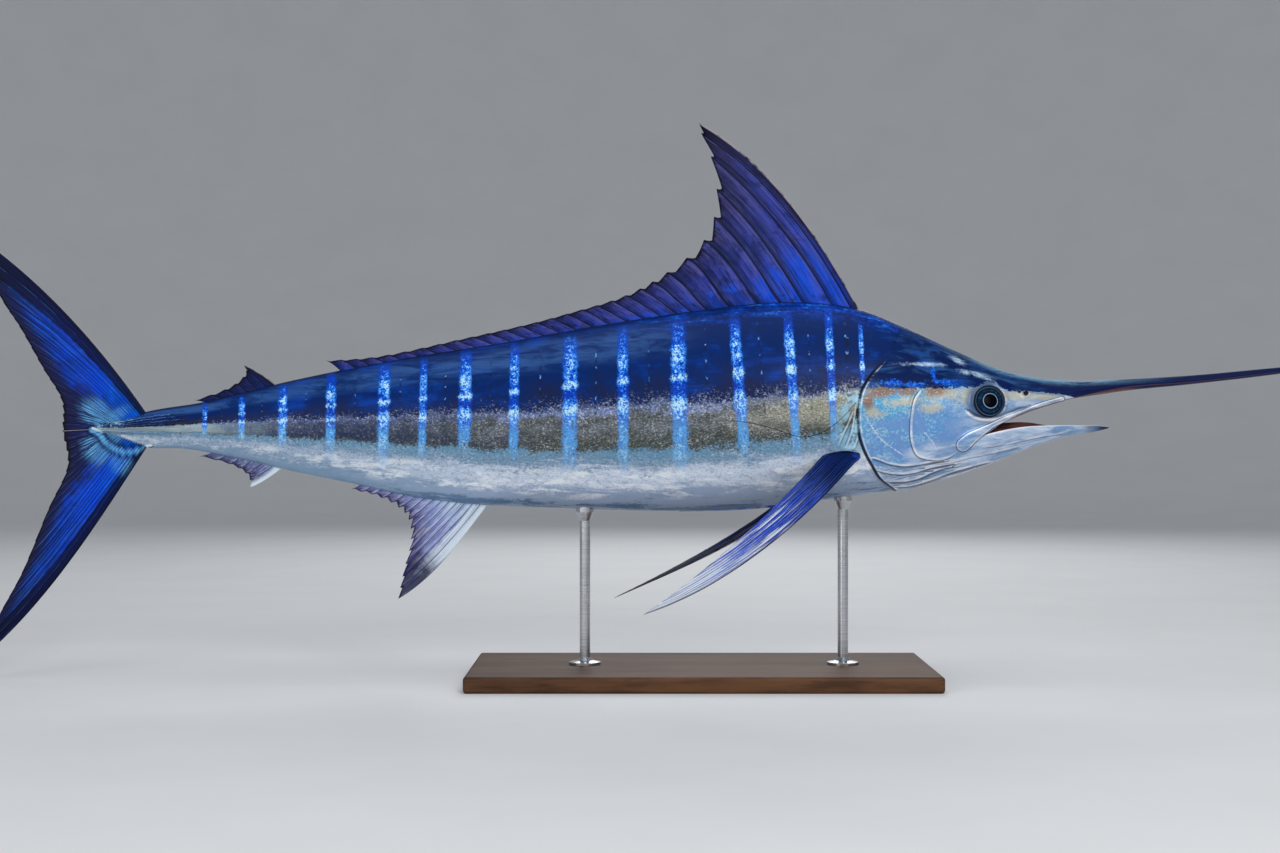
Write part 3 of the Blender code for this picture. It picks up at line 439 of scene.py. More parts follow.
# Forms of the face: path in photo pixels, kind, half width and height in metres.
face = {
    "maxilla": (side((963, 445), (972, 437.5), (985, 429.5), (999, 421.8), (1020, 413.5), (1040, 405.5), (1062, 399)),
                "bar", 0.0122, 0.0045),
    "preopercle": (side((921, 389), (914, 399), (910.8, 415.7), (909.9, 430.5), (911.2, 443.4), (915.8, 454.5),
                        (924, 459), (938, 460.4), (949, 458), (957, 452)), "step", 0.004, 0.0026),
    "opercleFold": (side((871, 458), (880, 461), (890, 464.5), (905, 466.5), (920, 465), (935, 462), (952, 460.5)),
                    "step", 0.0034, 0.0026),
    "gillRayOne": (side((876, 470.5), (885, 473), (900, 474.8), (915, 473), (930, 468.5), (947, 465), (962, 463)),
                   "step", 0.0034, 0.0026),
    "gillRayTwo": (side((888, 482.5), (905, 482), (920, 478.5), (932, 473), (945, 468.5), (960, 466)),
                   "step", 0.0032, 0.0022),
    "gillRayThree": (side((896, 487.5), (910, 486.5), (930, 481), (950, 473.5), (972, 467), (1000, 460)),
                     "step", 0.0032, 0.0022),
    "gillRayFour": (side((925, 487), (945, 480), (965, 473), (990, 465), (1015, 455)), "step", 0.003, 0.0014),
    "throatLine": (side((925, 464), (950, 463), (970, 458), (1000, 452), (1030, 444)), "groove", 0.003, 0.0014),
    "poreLine": (side((868, 420), (874, 430), (880, 438), (888, 445), (897, 451), (904, 456)),
                 "ridge", 0.0016, 0.0008),
    "cheekLine": (side((924, 432), (932, 441), (936.5, 450)), "ridge", 0.0015, 0.0007),
    "brow": (side((957, 373), (968, 375), (984, 377.5), (1000, 383), (1012, 387)), "ridge", 0.006, 0.0026),
    "underEye": (side((966, 411), (972, 416), (981, 419.3), (992, 419.6), (1004, 417), (1016, 412.5), (1030, 406.5)),
                 "ridge", 0.0034, 0.0018),
    "snoutCap": (side((1004, 390.5), (1025, 391.5), (1049, 394), (1071, 396)), "groove", 0.0022, 0.0006),
    "napeLine": (side((884, 366), (905, 362), (930, 363), (955, 367)), "ridge", 0.005, 0.0014),
}
shoulderForms = {
    "creaseOne": (side((846, 447), (851, 434), (854, 420), (856, 405)), "ridge", 0.003, 0.0016),
    "creaseTwo": (side((838, 446), (843, 434), (848, 424), (853, 412)), "ridge", 0.0028, 0.0012),
    "creaseThree": (side((853, 449), (857, 440), (858.5, 430)), "ridge", 0.0022, 0.0012),
    "creaseFour": (side((828, 448), (834, 441), (841, 434)), "ridge", 0.0026, 0.0008),
}
tailForms = {
    "upperKeel": (np.array([(-0.905, 0.489), (-0.985, 0.4868), (-1.062, 0.483)]), "ridge", 0.0042, 0.0055),
    "lowerKeel": (np.array([(-0.905, 0.4695), (-0.985, 0.4718), (-1.062, 0.475)]), "ridge", 0.0042, 0.0055),
}
jawFace = {
    "lowerLipRidge": (side((996, 434.5), (1015, 431.5), (1040, 429.7), (1070, 429.5), (1095, 429)),
                      "ridge", 0.003, 0.0014),
    "chinLine": (side((985, 448), (1010, 444), (1040, 437.5), (1070, 433)), "groove", 0.003, 0.001),
}

eye = {"place": (0.6233, 0.529), "seen": side((989.3, 401.3))[0], "radius": 0.0285, "rim": 0.031,
       "socketDepth": 0.006, "bowlFrom": 0.02, "rimWidth": 0.0036, "rimHeight": 0.0034}
# place, radius and depth of the two nostrils; their rims' height in metres, place and width in radii
nostrils = ((side((1026, 393))[0], 0.0046, 0.005), (side((1019.5, 391.5))[0], 0.0028, 0.0026))
nostrilRim = {"height": 0.0008, "place": 1.5, "width": 0.5}
# groove under the throat: half width, depth, the height it stays under, and where it starts and ends
throat = {"halfWidth": 0.005, "depth": 0.0022, "under": 0.45, "start": (0.44, 0.5), "end": (0.7, 0.78)}


def outline(x, *names):
    # values of the body's curves at x
    return [curve(body[name], x) for name in names]


def bodySection(x, angle):
    return section(angle, *outline(x, "back", "widest", "belly", "halfWidth"))


def section(angle, top, level, bottom, width):
    # superellipse: y = width * sin^(2/n), z = level + height * cos^(2/n), another n below the widest level
    up = np.cos(angle)
    power = np.where(up > 0, body["backPower"], body["bellyPower"])
    height = np.where(up > 0, top - level, level - bottom)
    return width * signedPower(np.sin(angle), 2 / power), level + height * signedPower(up, 2 / power)


def lipAngle(lip, level, bottom):
    # angle at which the lower part of a section passes the lip's height
    share = np.clip((level - lip) / (level - bottom), 0, 1)
    return math.pi - np.arccos(share ** (body["bellyPower"] / 2))


def evenAngles(start, end, count):
    # angles that part a tall ellipse, 2.1 times as high as wide, into equal lengths
    angle = np.linspace(start, end, 400)
    length = np.concatenate([[0], np.cumsum(np.hypot(np.cos(angle[1:]), 2.1 * np.sin(angle[1:])))])
    return np.interp(np.linspace(0, length[-1], count), length, angle)


cornerAngle = float(lipAngle(body["cornerZ"], *outline(body["mouthX"], "widest", "belly")))
halfAngles = np.concatenate([evenAngles(0, cornerAngle, skin["columnsToLip"] + 1),
                             evenAngles(cornerAngle, math.pi, skin["columnsBelowLip"] + 1)[1:]])
ringAngles = np.concatenate([halfAngles, 2 * math.pi - halfAngles[-2:0:-1]])  # top, left, keel, right


def flatRows(stations):
    x = np.repeat(np.asarray(stations)[:, None], len(ringAngles), axis=1)
    return placed(x, *bodySection(x, ringAngles))


def bentRows(shares, flatX):
    # rows between the gill cover's edge (share 0) and the flat row at flatX (share 1)
    shares = np.asarray(shares)[:, None]
    x = np.full((len(shares), len(ringAngles)), flatX)
    for _ in range(24):
        z = bodySection(x, ringAngles)[1]
        x = curve(body["gillEdge"], z) * (1 - shares) + flatX * shares
    return placed(x, *bodySection(x, ringAngles))


def fromLine(spots, path):
    # signed distance of points from a smooth path, plus on its left, and the share along it
    samples = curve(np.column_stack([np.arange(len(path)), path]), np.linspace(0, len(path) - 1, 14 * len(path)))
    best = np.full(spots.shape[:-1], 9.0)
    away, share = best.copy(), np.zeros(spots.shape[:-1])
    for k, (start, end) in enumerate(zip(samples[:-1], samples[1:])):
        way = end - start
        offset = spots - start
        t = np.clip((offset @ way) / (way @ way), 0, 1)
        distance = np.linalg.norm(offset - t[..., None] * way, axis=-1)
        nearer = distance < best
        cross = way[0] * offset[..., 1] - way[1] * offset[..., 0]
        best = np.where(nearer, distance, best)
        away = np.where(nearer, np.where(cross > 0, distance, -distance), away)
        share = np.where(nearer, (k + t) / (len(samples) - 1), share)
    return away, share


barShape = {"groove": 0.28, "place": 1.6, "width": 0.4}
stepShape = {"behind": 2.6, "ahead": 0.3, "groove": 0.35, "place": 0.75, "width": 0.45}


def barTaper(share):
    # a bar's width along it: full at its start, a third from its middle on
    return 1 - 0.66 * easeStep(share, 0.04, 0.48)


def lineRelief(spots, path, kind, width, height):
    # height of a raised line over the skin: a bell, a flat-topped bar, a step that falls away on one
    # side, or a groove, each dying out at both ends
    away, share = fromLine(spots, path)
    d = away / width
    if kind == "bar":
        ends = barTaper(share)
        d = d / ends
        grooves = np.exp(-((np.abs(d) - barShape["place"]) / barShape["width"]) ** 2)
        return height * ends * (1 / (1 + d**6) - barShape["groove"] * grooves)
    ends = easeStep(share, -0.02, 0.12) * (1 - easeStep(share, 0.8, 1.02))
    if kind == "step":
        high = np.where(d > 0, np.exp(-d / stepShape["behind"]), np.exp(-(d / stepShape["ahead"]) ** 2))
        groove = np.exp(-((d + stepShape["place"]) / stepShape["width"]) ** 2)
        return height * ends * (high - stepShape["groove"] * groove)
    if kind == "groove":
        return -height * ends * np.exp(-d**2)
    return height * ends * np.exp(-d**2)


def faceRelief(grid, forms):
    spots = seen(grid)
    total = np.zeros(spots.shape[:-1])
    for path, kind, width, height in forms.values():
        total += lineRelief(spots, path, kind, width, height)
    return total * easeStep(np.abs(grid[..., 1]), 0.004, 0.016)


def eyeRelief(grid):
    # a bowl for the eye with a raised rim, and the two pits of the nostril
    spots = seen(grid)
    r = np.linalg.norm(spots - eye["seen"], axis=-1)
    rim = eye["rimHeight"] * np.exp(-((r - eye["rim"]) / eye["rimWidth"]) ** 2)
    bowl = -eye["socketDepth"] * (1 - easeStep(r, eye["bowlFrom"], eye["radius"]))
    total = rim + bowl
    for place, radius, depth in nostrils:
        r = np.linalg.norm(spots - place, axis=-1)
        away = (r - nostrilRim["place"] * radius) / (nostrilRim["width"] * radius)
        total += -depth * np.exp(-(r / radius) ** 4) + nostrilRim["height"] * np.exp(-away**2)
    return total


def throatRelief(grid):
    # the two gill membranes meet in a shallow groove under the throat
    x, y, z = np.moveaxis(grid, -1, 0)
    under = np.exp(-(y / throat["halfWidth"]) ** 2) * (z < throat["under"])
    return -throat["depth"] * under * easeStep(x, *throat["start"]) * (1 - easeStep(x, *throat["end"]))


def upperJawRows(stations):
    # right lip, over the top to the left lip, then back across the roof of the mouth; across the roof
    # the height follows a parabola, and by the corner the rows reach back into the head
    x = np.asarray(stations)[:, None]
    top, level, bottom, width, lipZ, roofZ = outline(x, "back", "widest", "muzzleKeel", "halfWidth", "upperLip",
                                                     "roof")
    lip = lipAngle(lipZ, level, bottom)
    share = halfAngles[: skin["columnsToLip"] + 1] / cornerAngle
    angles = np.concatenate([-share[::-1], share[1:]])[None, :] * lip
    y, z = section(angles, top, level, bottom, width)
    outer = placed(x, y, z)
    roof = acrossMouth(x, outer[:, -1], roofZ)
    return np.concatenate([outer, roof], axis=1)


def acrossMouth(x, edge, middle, rise=0.0):
    k = np.linspace(1, -1, skin["roofColumns"] + 2)[1:-1][None, :]
    reach = body["mouthDepth"] * np.clip(1 - (x - body["mouthX"]) / 0.075, 0, 1) ** 1.5
    y = edge[:, 1:2] * k
    z = middle + (edge[:, 2:3] - middle) * k**2 + rise * np.exp(-(k / 0.42) ** 4)
    return placed(x - reach * (1 - k**2) ** 0.7, y, z)


def lowerJawRows(stations):
    # left lip, under the chin to the right lip, then back across the floor of the mouth
    x = np.asarray(stations)[:, None]
    level, bottom, width, lipZ, hollow, tongue = outline(
        x, "jawLevel", "belly", "jawHalfWidth", "lowerLip", "jawHollow", "tongue")
    lip = lipAngle(lipZ, level, bottom)
    share = (halfAngles[skin["columnsToLip"]:] - cornerAngle) / (math.pi - cornerAngle)
    half = lip + (math.pi - lip) * share[None, :]
    angles = np.concatenate([half, 2 * math.pi - half[:, -2::-1]], axis=1)
    y, z = section(angles, level + 0.01, level, bottom, width)
    outer = placed(x, y, z)
    floor = acrossMouth(x, outer[:, 0], lipZ - hollow, tongue)
    return np.concatenate([outer, floor[:, ::-1]], axis=1)


def outwards(grid, normals):
    # normals turned away from the middle line of the body
    middle = placed(grid[..., 0], 0, curve(body["widest"], grid[..., 0]))
    sign = np.sign(np.sum((grid - middle) * normals, axis=-1, keepdims=True))
    return normals * np.where(sign == 0, 1, sign)


def skinRows():
    # the closed rows from the tail to the corner of the mouth, with the gill cover's fold between
    behind = flatRows(np.linspace(body["tailX"], body["shoulderX"], skin["bodyRows"])[:-1])
    shoulder = bentRows(np.linspace(1, 0.06, skin["shoulderRows"]), body["shoulderX"])
    head = bentRows(np.linspace(0.022, 1, skin["headRows"]) ** 1.08, body["mouthX"])
    edge = bentRows([0.0], body["mouthX"])
    ahead = unit(bentRows([0.02], body["mouthX"]) - edge)[0]
    rows = np.concatenate([behind, shoulder, edge, head])
    at = len(behind) + len(shoulder)
    normals = outwards(rows, gridNormals(rows, True))
    keels = sum(lineRelief(behind[..., ::2], *form) for form in tailForms.values())
    rows[: len(behind)] += normals[: len(behind)] * keels[..., None]
    behind = rows[: len(behind)]
    edge = edge[0]
    gap = (1 - easeStep(edge[:, 2], skin["gillTop"] - skin["gillFade"], skin["gillTop"]))
    gap *= skin["closedLeast"] + (1 - skin["closedLeast"]) * easeStep(np.abs(edge[:, 1]), 0.004, 0.02)
    fold = np.array(skin["gillFold"])
    closed = np.linspace(*skin["closedFold"], len(fold))[:, None]
    alongShift = fold[:, :1] * gap + closed * (1 - gap)
    outShift = fold[:, 1:] * gap
    folded = edge + ahead * alongShift[..., None] + normals[at] * outShift[..., None]
    # the head: its cover stands out most at the free edge
    distance = np.linalg.norm(head - edge[None], axis=-1)
    lift = skin["coverSwell"] * gap[None, :] * (1 - easeStep(distance, 0.0, skin["coverReach"])) ** 1.5
    lift = lift + faceRelief(head, face) * easeStep(distance, 0.004, 0.02) + eyeRelief(head) + throatRelief(head)
    head = head + normals[at + 1:] * lift[..., None]
    # the shoulder dips a little before it goes under the cover
    distance = np.linalg.norm(shoulder - edge[None], axis=-1)
    dip = skin["dip"] * gap[None, :] * (1 - easeStep(distance, 0.0, skin["dipReach"]))
    dip = faceRelief(shoulder, shoulderForms) - dip
    shoulder = shoulder + normals[len(behind):at] * dip[..., None]
    return np.concatenate([behind, shoulder, folded, head]), len(behind) + len(shoulder) + 8


# Colour lines on the side of the fish, in photo pixels
marks = {
    "darkEdge": side((60, 430), (100, 428), (150, 426), (250, 421), (400, 416), (500, 412), (580, 405.5),
                     (640, 402.5), (690, 401.5), (745, 398), (800, 394), (860, 387), (921, 388), (976, 386.5),
                     (993, 382), (1005, 389.5), (1025, 391), (1049, 393.5), (1071, 396.5), (1090, 404),
                     (1140, 402), (1352, 385)),
    "bandFoot": side((60, 433), (100, 432), (150, 432), (300, 438), (450, 447), (580, 451), (640, 450), (700, 447),
                     (760, 441), (800, 437), (850, 430), (875, 414), (900, 406), (930, 401), (960, 397),
                     (1000, 397), (1071, 400), (1090, 410), (1352, 392)),
    "tailFold": side((92, 430), (100, 434), (106, 442), (116, 449), (130, 452), (150, 447)),
    "lateral": side((90, 429), (300, 430), (500, 428), (640, 424), (700, 421), (745, 422), (775, 429), (803, 437),
                    (825, 431), (845, 415), (858, 400)),
    # bars: middle, width, top and foot
    "bars": ((205, 5, 403, 440), (242, 7, 397, 445), (283, 9, 386, 452), (331, 10, 374, 462), (384, 12, 365, 468),
             (423, 8, 360, 465), (465, 13, 352, 465), (514, 10, 345, 475), (570, 15, 338, 478), (623, 11, 330, 478),
             (679.5, 16, 322, 480), (740.5, 12, 318, 475), (793.5, 10, 316, 470), (832.5, 8, 308, 450),
             (864, 5, 325, 386)),
    "dots": (222, 262, 306, 355, 400, 445, 490, 540, 596, 649, 708, 764, 812, 848),
    # how far a bar's middle moves forward from its top to its foot, by its place
    "lean": ((0, 0.0), (600, 0.0), (690, 0.03), (737, 0.08), (829, 0.05), (880, 0.05)),
    # brightness of a bar along its height, by the tone
    "glow": ((0.0, 0.45), (0.6, 0.45), (1.0, 0.5), (1.15, 0.42), (1.6, 0.45), (1.8, 0.66), (1.95, 0.84), (2.05, 0.6),
             (2.12, 0.36), (2.2, 0.46), (2.27, 0.86), (2.34, 0.46), (2.42, 0.58), (2.55, 0.64), (2.66, 0.5),
             (2.8, 0.36), (3.2, 0.32)),
}
# soft patches: middle and half axes in photo pixels, turn in degrees
patches = {
    "blueGlow": ((893, 382.5, 12, 2.8, 2), (916, 384.5, 9, 2.4, 0), (946, 382, 14, 3.0, 6), (933.5, 376, 2.6, 6, 0)),
    "shine": ((958, 361, 9, 3.6, 28), (981, 376, 16, 2.4, 22), (966, 372, 7, 2.6, 15), (925, 364, 26, 1.8, 2)),
    "bronze": ((882, 391.5, 20, 7.5, 0), (868, 401, 7, 10, 0), (908, 391, 14, 6, 0), (934, 391, 14, 7.5, -4)),
    "cream": ((945, 394, 30, 8.5, 0), (968, 395, 14, 9, 0), (1022, 396, 26, 5.5, 2), (1048, 398, 22, 4, 4),
              (905, 401, 24, 5, 0), (872, 412, 9, 7, 0), (930, 408, 16, 6, 0)),
    "sheath": ((95, 413, 17, 14, 40), (97, 448, 15, 17, -40), (118, 414, 16, 6, -30), (122, 462, 12, 16, -35)),
    "glitter": ((117, 418, 13, 9, -20), (96, 438, 9, 14, 10), (858, 402, 3, 12, 0), (855, 428, 4, 14, 10),
                (850, 447, 9, 4, -14)),
    "pit": ((1026, 393, 2.6, 2.6, 0), (1019.5, 391.7, 1.5, 1.5, 0)),
}


def skinValues(points, mouth, headward):
    # what the skin's colours follow: tone 0 at the keel, 1 at the band's foot, 2 at the dark edge, 3 on
    # the back; place across and along the nearest bar; distances from the dotted and lateral lines
    x, z = seen(points).T
    dark, foot = curve(marks["darkEdge"], x), curve(marks["bandFoot"], x)
    foot = np.minimum(foot, dark - 0.004)
    back, belly = outline(x, "back", "belly")
    belly = np.minimum(belly, foot - 0.01)
    tone = np.where(z > dark, 2 + (z - dark) / np.maximum(back - dark, 0.004),
                    np.where(z > foot, 1 + (z - foot) / (dark - foot), (z - belly) / (foot - belly)))
    upright = x
    lean = curve(marks["lean"], x / photoScale["metresPerPixel"] + photoScale["middleX"])
    bars = np.array(marks["bars"], float)
    middle, top = side(*bars[:, [0, 2]]).T
    low = side(*bars[:, [0, 3]])[:, 1]
    half = bars[:, 1] * photoScale["metresPerPixel"] / 2
    middle = np.concatenate([[middle[0] - 0.07], middle, [middle[-1] + 0.12]])
    x = x - lean * (0.53 - z)
    phase = np.interp(x, middle, np.arange(len(middle)))
    cell = np.clip(np.floor(phase).astype(int), 0, len(middle) - 2)
    nearest = np.clip(np.round(phase).astype(int) - 1, 0, len(half) - 1)
    dots = side(*[(px, 0) for px in marks["dots"]])[:, 0]
    dots = np.concatenate([[dots[0] - 0.07], dots, [dots[-1] + 0.4]])
    return {
        "tone": np.clip(tone, 0, 3.2), "barPhase": phase, "barWidths": np.diff(middle)[cell] / half[nearest],
        "barAlong": (z - low[nearest]) / (top - low)[nearest], "dotPhase": np.interp(x, dots, np.arange(len(dots))),
        "barGlow": curve(marks["glow"], tone),
        "tailFold": np.where(upright < -0.9, fromLine(np.column_stack([upright, z]), marks["tailFold"])[0], 0.05),
        "lateral": z - curve(marks["lateral"], upright), "belowBack": back - z, "headward": headward, "mouth": mouth,
        "forward": (upright - side((0, 0))[0, 0]) / (side((1280, 0)) - side((0, 0)))[0, 0], **faceLines(points),
        **{name: softPatches(points, spots) for name, spots in patches.items() if name != "sheath"},
    }


def softPatches(points, spots):
    # largest of the patches' bells: e to the minus squared distance, in half axes of each ellipse
    x, z = seen(points).T
    value = np.zeros(len(points))
    for px, py, halfX, halfY, turn in spots:
        middle = side((px, py))[0]
        c, d = math.cos(math.radians(turn)), math.sin(math.radians(turn))
        along = ((x - middle[0]) * c - (z - middle[1]) * d) / (halfX * photoScale["metresPerPixel"])
        across = ((x - middle[0]) * d + (z - middle[1]) * c) / (halfY * photoScale["metresPerPixel"])
        value = np.maximum(value, np.exp(-along**2 - across**2))
    return value


def faceLines(points):
    # distances from the lines of the face, for their thin dark and pale strokes; far off elsewhere
    spots = seen(points)
    near = points[:, 0] > 0.34
    lines = {key: np.full(len(points), 0.05)
             for key in ("foldAway", "rayAway", "maxillaAway", "poreAway", "creaseAway", "underEyeAway",
                         "wrinkleAway")}
    for path, *_ in shoulderForms.values():
        lines["wrinkleAway"] = np.minimum(lines["wrinkleAway"], np.abs(fromLine(spots, path)[0]))
    for name, (path, kind, width, height) in {**face, **jawFace}.items():
        away, share = fromLine(spots[near], path)
        ends = easeStep(share, -0.02, 0.05) * (1 - easeStep(share, 0.88, 1.0))
        if kind == "bar":
            key, away = "maxillaAway", np.abs(away) - width * barTaper(share)
        else:
            key = {"step": "rayAway", "ridge": "poreAway", "groove": "creaseAway"}[kind]
            key = {"underEye": "underEyeAway", "preopercle": "foldAway"}.get(name, key)
            if name in ("brow", "napeLine", "lowerLipRidge"):
                continue
            away = away + np.where(away > 0, 1, -1) * (1 - ends) * 0.004
        current = lines[key][near]
        lines[key][near] = np.where(np.abs(away) < np.abs(current), away, current)
    return lines


def makeSkin(material):
    rows, coverRow = skinRows()
    columns = len(ringAngles)
    bodyIndex = np.arange(rows.shape[0] * columns).reshape(rows.shape[0], columns)
    points, quads, triangles = [rows.reshape(-1, 3)], [gridFaces(bodyIndex, True)], []
    toLip, belowLip = skin["columnsToLip"], skin["columnsBelowLip"]
    corner = bodyIndex[-1]

    def numbered(grid, *firstRow):
        # vertex numbers of a jaw's rows; the first row has its points already, the others are new
        first = sum(map(len, points))
        index = np.vstack([np.concatenate(firstRow),
                           first + np.arange(grid[1:, :, 0].size).reshape(len(grid) - 1, -1)])
        points.append(grid[1:].reshape(-1, 3))
        quads.append(gridFaces(index, True))
        return index

    # upper jaw and bill
    mouthX, billX, tipX = body["mouthX"], body["billX"], body["billTipX"]
    stations = np.concatenate([np.linspace(mouthX, billX, skin["jawRows"]),
                               billX + (tipX - billX) * np.linspace(0, 1, skin["billRows"])[1:]])
    upper = upperJawRows(stations)
    arc = 2 * toLip + 1
    normals = outwards(upper, gridNormals(upper, True))
    lift = faceRelief(upper, face) + eyeRelief(upper)
    lift[:, arc:] = 0
    lift *= 1 - easeStep(upper[..., 0], 0.9, 0.95)
    upper[:, :arc] += (normals * lift[..., None])[:, :arc]
    points.append(upper[0, arc:])
    roof = bodyIndex.size + np.arange(skin["roofColumns"])
    upperIndex = numbered(upper, corner[columns - toLip:], corner[: toLip + 1], roof)

    # lower jaw
    stations = mouthX + (body["jawTipX"] - mouthX) * np.linspace(0, 1, skin["lowerJawRows"]) ** 0.95
    lower = lowerJawRows(stations)
    lowArc = 2 * belowLip + 1
    jawMiddle = lower[:, :lowArc].mean(axis=1, keepdims=True) + np.array([0, 0, 0.01])
    normals = gridNormals(lower, True)
    normals *= np.sign(np.sum((lower - jawMiddle) * normals, axis=-1, keepdims=True))
    lift = faceRelief(lower, {**face, **jawFace}) + throatRelief(lower)
    lift[:, lowArc:] = 0
    lower[:, :lowArc] += (normals * lift[..., None])[:, :lowArc]
    # just ahead of the corner the row follows the head's own row, so that no step shows there
    blend = (1 - easeStep(lower[:, :lowArc, 0], mouthX, mouthX + 0.035))[..., None]
    lower[:, :lowArc] += blend * (rows[-1, toLip: toLip + lowArc] - lower[0, :lowArc])
    lowerIndex = numbered(lower, corner[toLip: toLip + lowArc], roof[::-1])

    # closed ends
    poles = np.array([rows[0].mean(axis=0) - [0.004, 0, 0], upper[-1].mean(axis=0) + [0.0005, 0, 0],
                      lower[-1].mean(axis=0) + [0.002, 0, 0]])
    for ring, pole in zip((bodyIndex[0], upperIndex[-1], lowerIndex[-1]), poles):
        triangles.append(poleFaces(ring, sum(map(len, points))))
        points.append(pole[None])
    points = np.vstack(points)

    mouth = np.zeros(len(points))
    mouth[upperIndex[:, arc + 1:-1]] = 1
    mouth[lowerIndex[:, lowArc + 1:-1]] = 1
    mouth *= 1 - easeStep(points[:, 0], 0.86, 0.93)
    headward = np.ones(len(points))
    headward[: coverRow * columns] = 0
    values = skinValues(points, mouth, headward)
    # thin rims of the two lips: 1 on the last outer columns and on the first one within
    values["upperRim"], values["lowerRim"] = np.zeros(len(points)), np.zeros(len(points))
    values["upperRim"][upperIndex[1:, [0, 1, arc - 2, arc - 1]]] = 1
    values["lowerRim"][lowerIndex[1:, [0, 1, lowArc - 2, lowArc - 1]]] = 1
    values["gill"] = points[:, 0] - curve(body["gillEdge"], points[:, 2])
    values["eyeAway"] = np.linalg.norm(seen(points) - eye["seen"], axis=-1)
    print("skin:", len(points), "points")
    return makePiece("fishSkin", points, np.vstack(quads), np.vstack(triangles), values,
                     ("head", "torso", "tail", "bill", "lower_jaw"), material)


# Skin colours
skinColours = {
    "keel": (0.13, 0.23, 0.38), "lilac": (0.36, 0.46, 0.64), "belly": (0.63, 0.72, 0.87),
    "bellyWhite": (0.86, 0.91, 0.96), "flank": (0.2, 0.32, 0.46), "underBand": (0.135, 0.31, 0.47),
    "bandFoot": (0.058, 0.07, 0.056), "bandLow": (0.096, 0.112, 0.104), "bandMiddle": (0.165, 0.19, 0.215),
    "bandLilac": (0.21, 0.28, 0.54), "bandGold": (0.38, 0.37, 0.26), "peduncle": (0.36, 0.43, 0.42),
    "grainDark": (0.025, 0.03, 0.048), "grainPale": (0.7, 0.7, 0.76), "back": (0.0004, 0.018, 0.12),
    "backLow": (0.0025, 0.016, 0.088), "backSheen": (0.03, 0.095, 0.29), "backBlue": (0.0005, 0.046, 0.34),
    "strip": (0.002, 0.045, 0.38), "barDeep": (0.0015, 0.05, 0.52), "bar": (0.025, 0.27, 1.0),
    "barWhite": (0.5, 0.83, 1.0), "barLow": (0.09, 0.36, 0.84), "cap": (0.0006, 0.0125, 0.085),
    "capSheen": (0.03, 0.11, 0.29), "cheek": (0.07, 0.38, 0.6), "cheekBlue": (0.04, 0.27, 0.68),
    "cheekLilac": (0.11, 0.32, 0.62), "cheekPale": (0.52, 0.76, 0.88), "throat": (0.19, 0.33, 0.56),
    "throatPale": (0.6, 0.7, 0.86), "cream": (0.5, 0.49, 0.38), "bronze": (0.25, 0.13, 0.062),
    "socket": (0.03, 0.08, 0.19), "lavender": (0.2, 0.32, 0.66), "mouth": (0.085, 0.032, 0.026),
    "gum": (0.26, 0.11, 0.085), "rim": (0.2, 0.075, 0.05), "warm": (0.01, 0.015, 0.055),
    "stroke": (0.01, 0.011, 0.026), "strokePale": (0.84, 0.85, 0.92), "shine": (0.52, 0.72, 0.92),
    "crest": (0.28, 0.62, 0.88), "bill": (0.0025, 0.0095, 0.062),
}


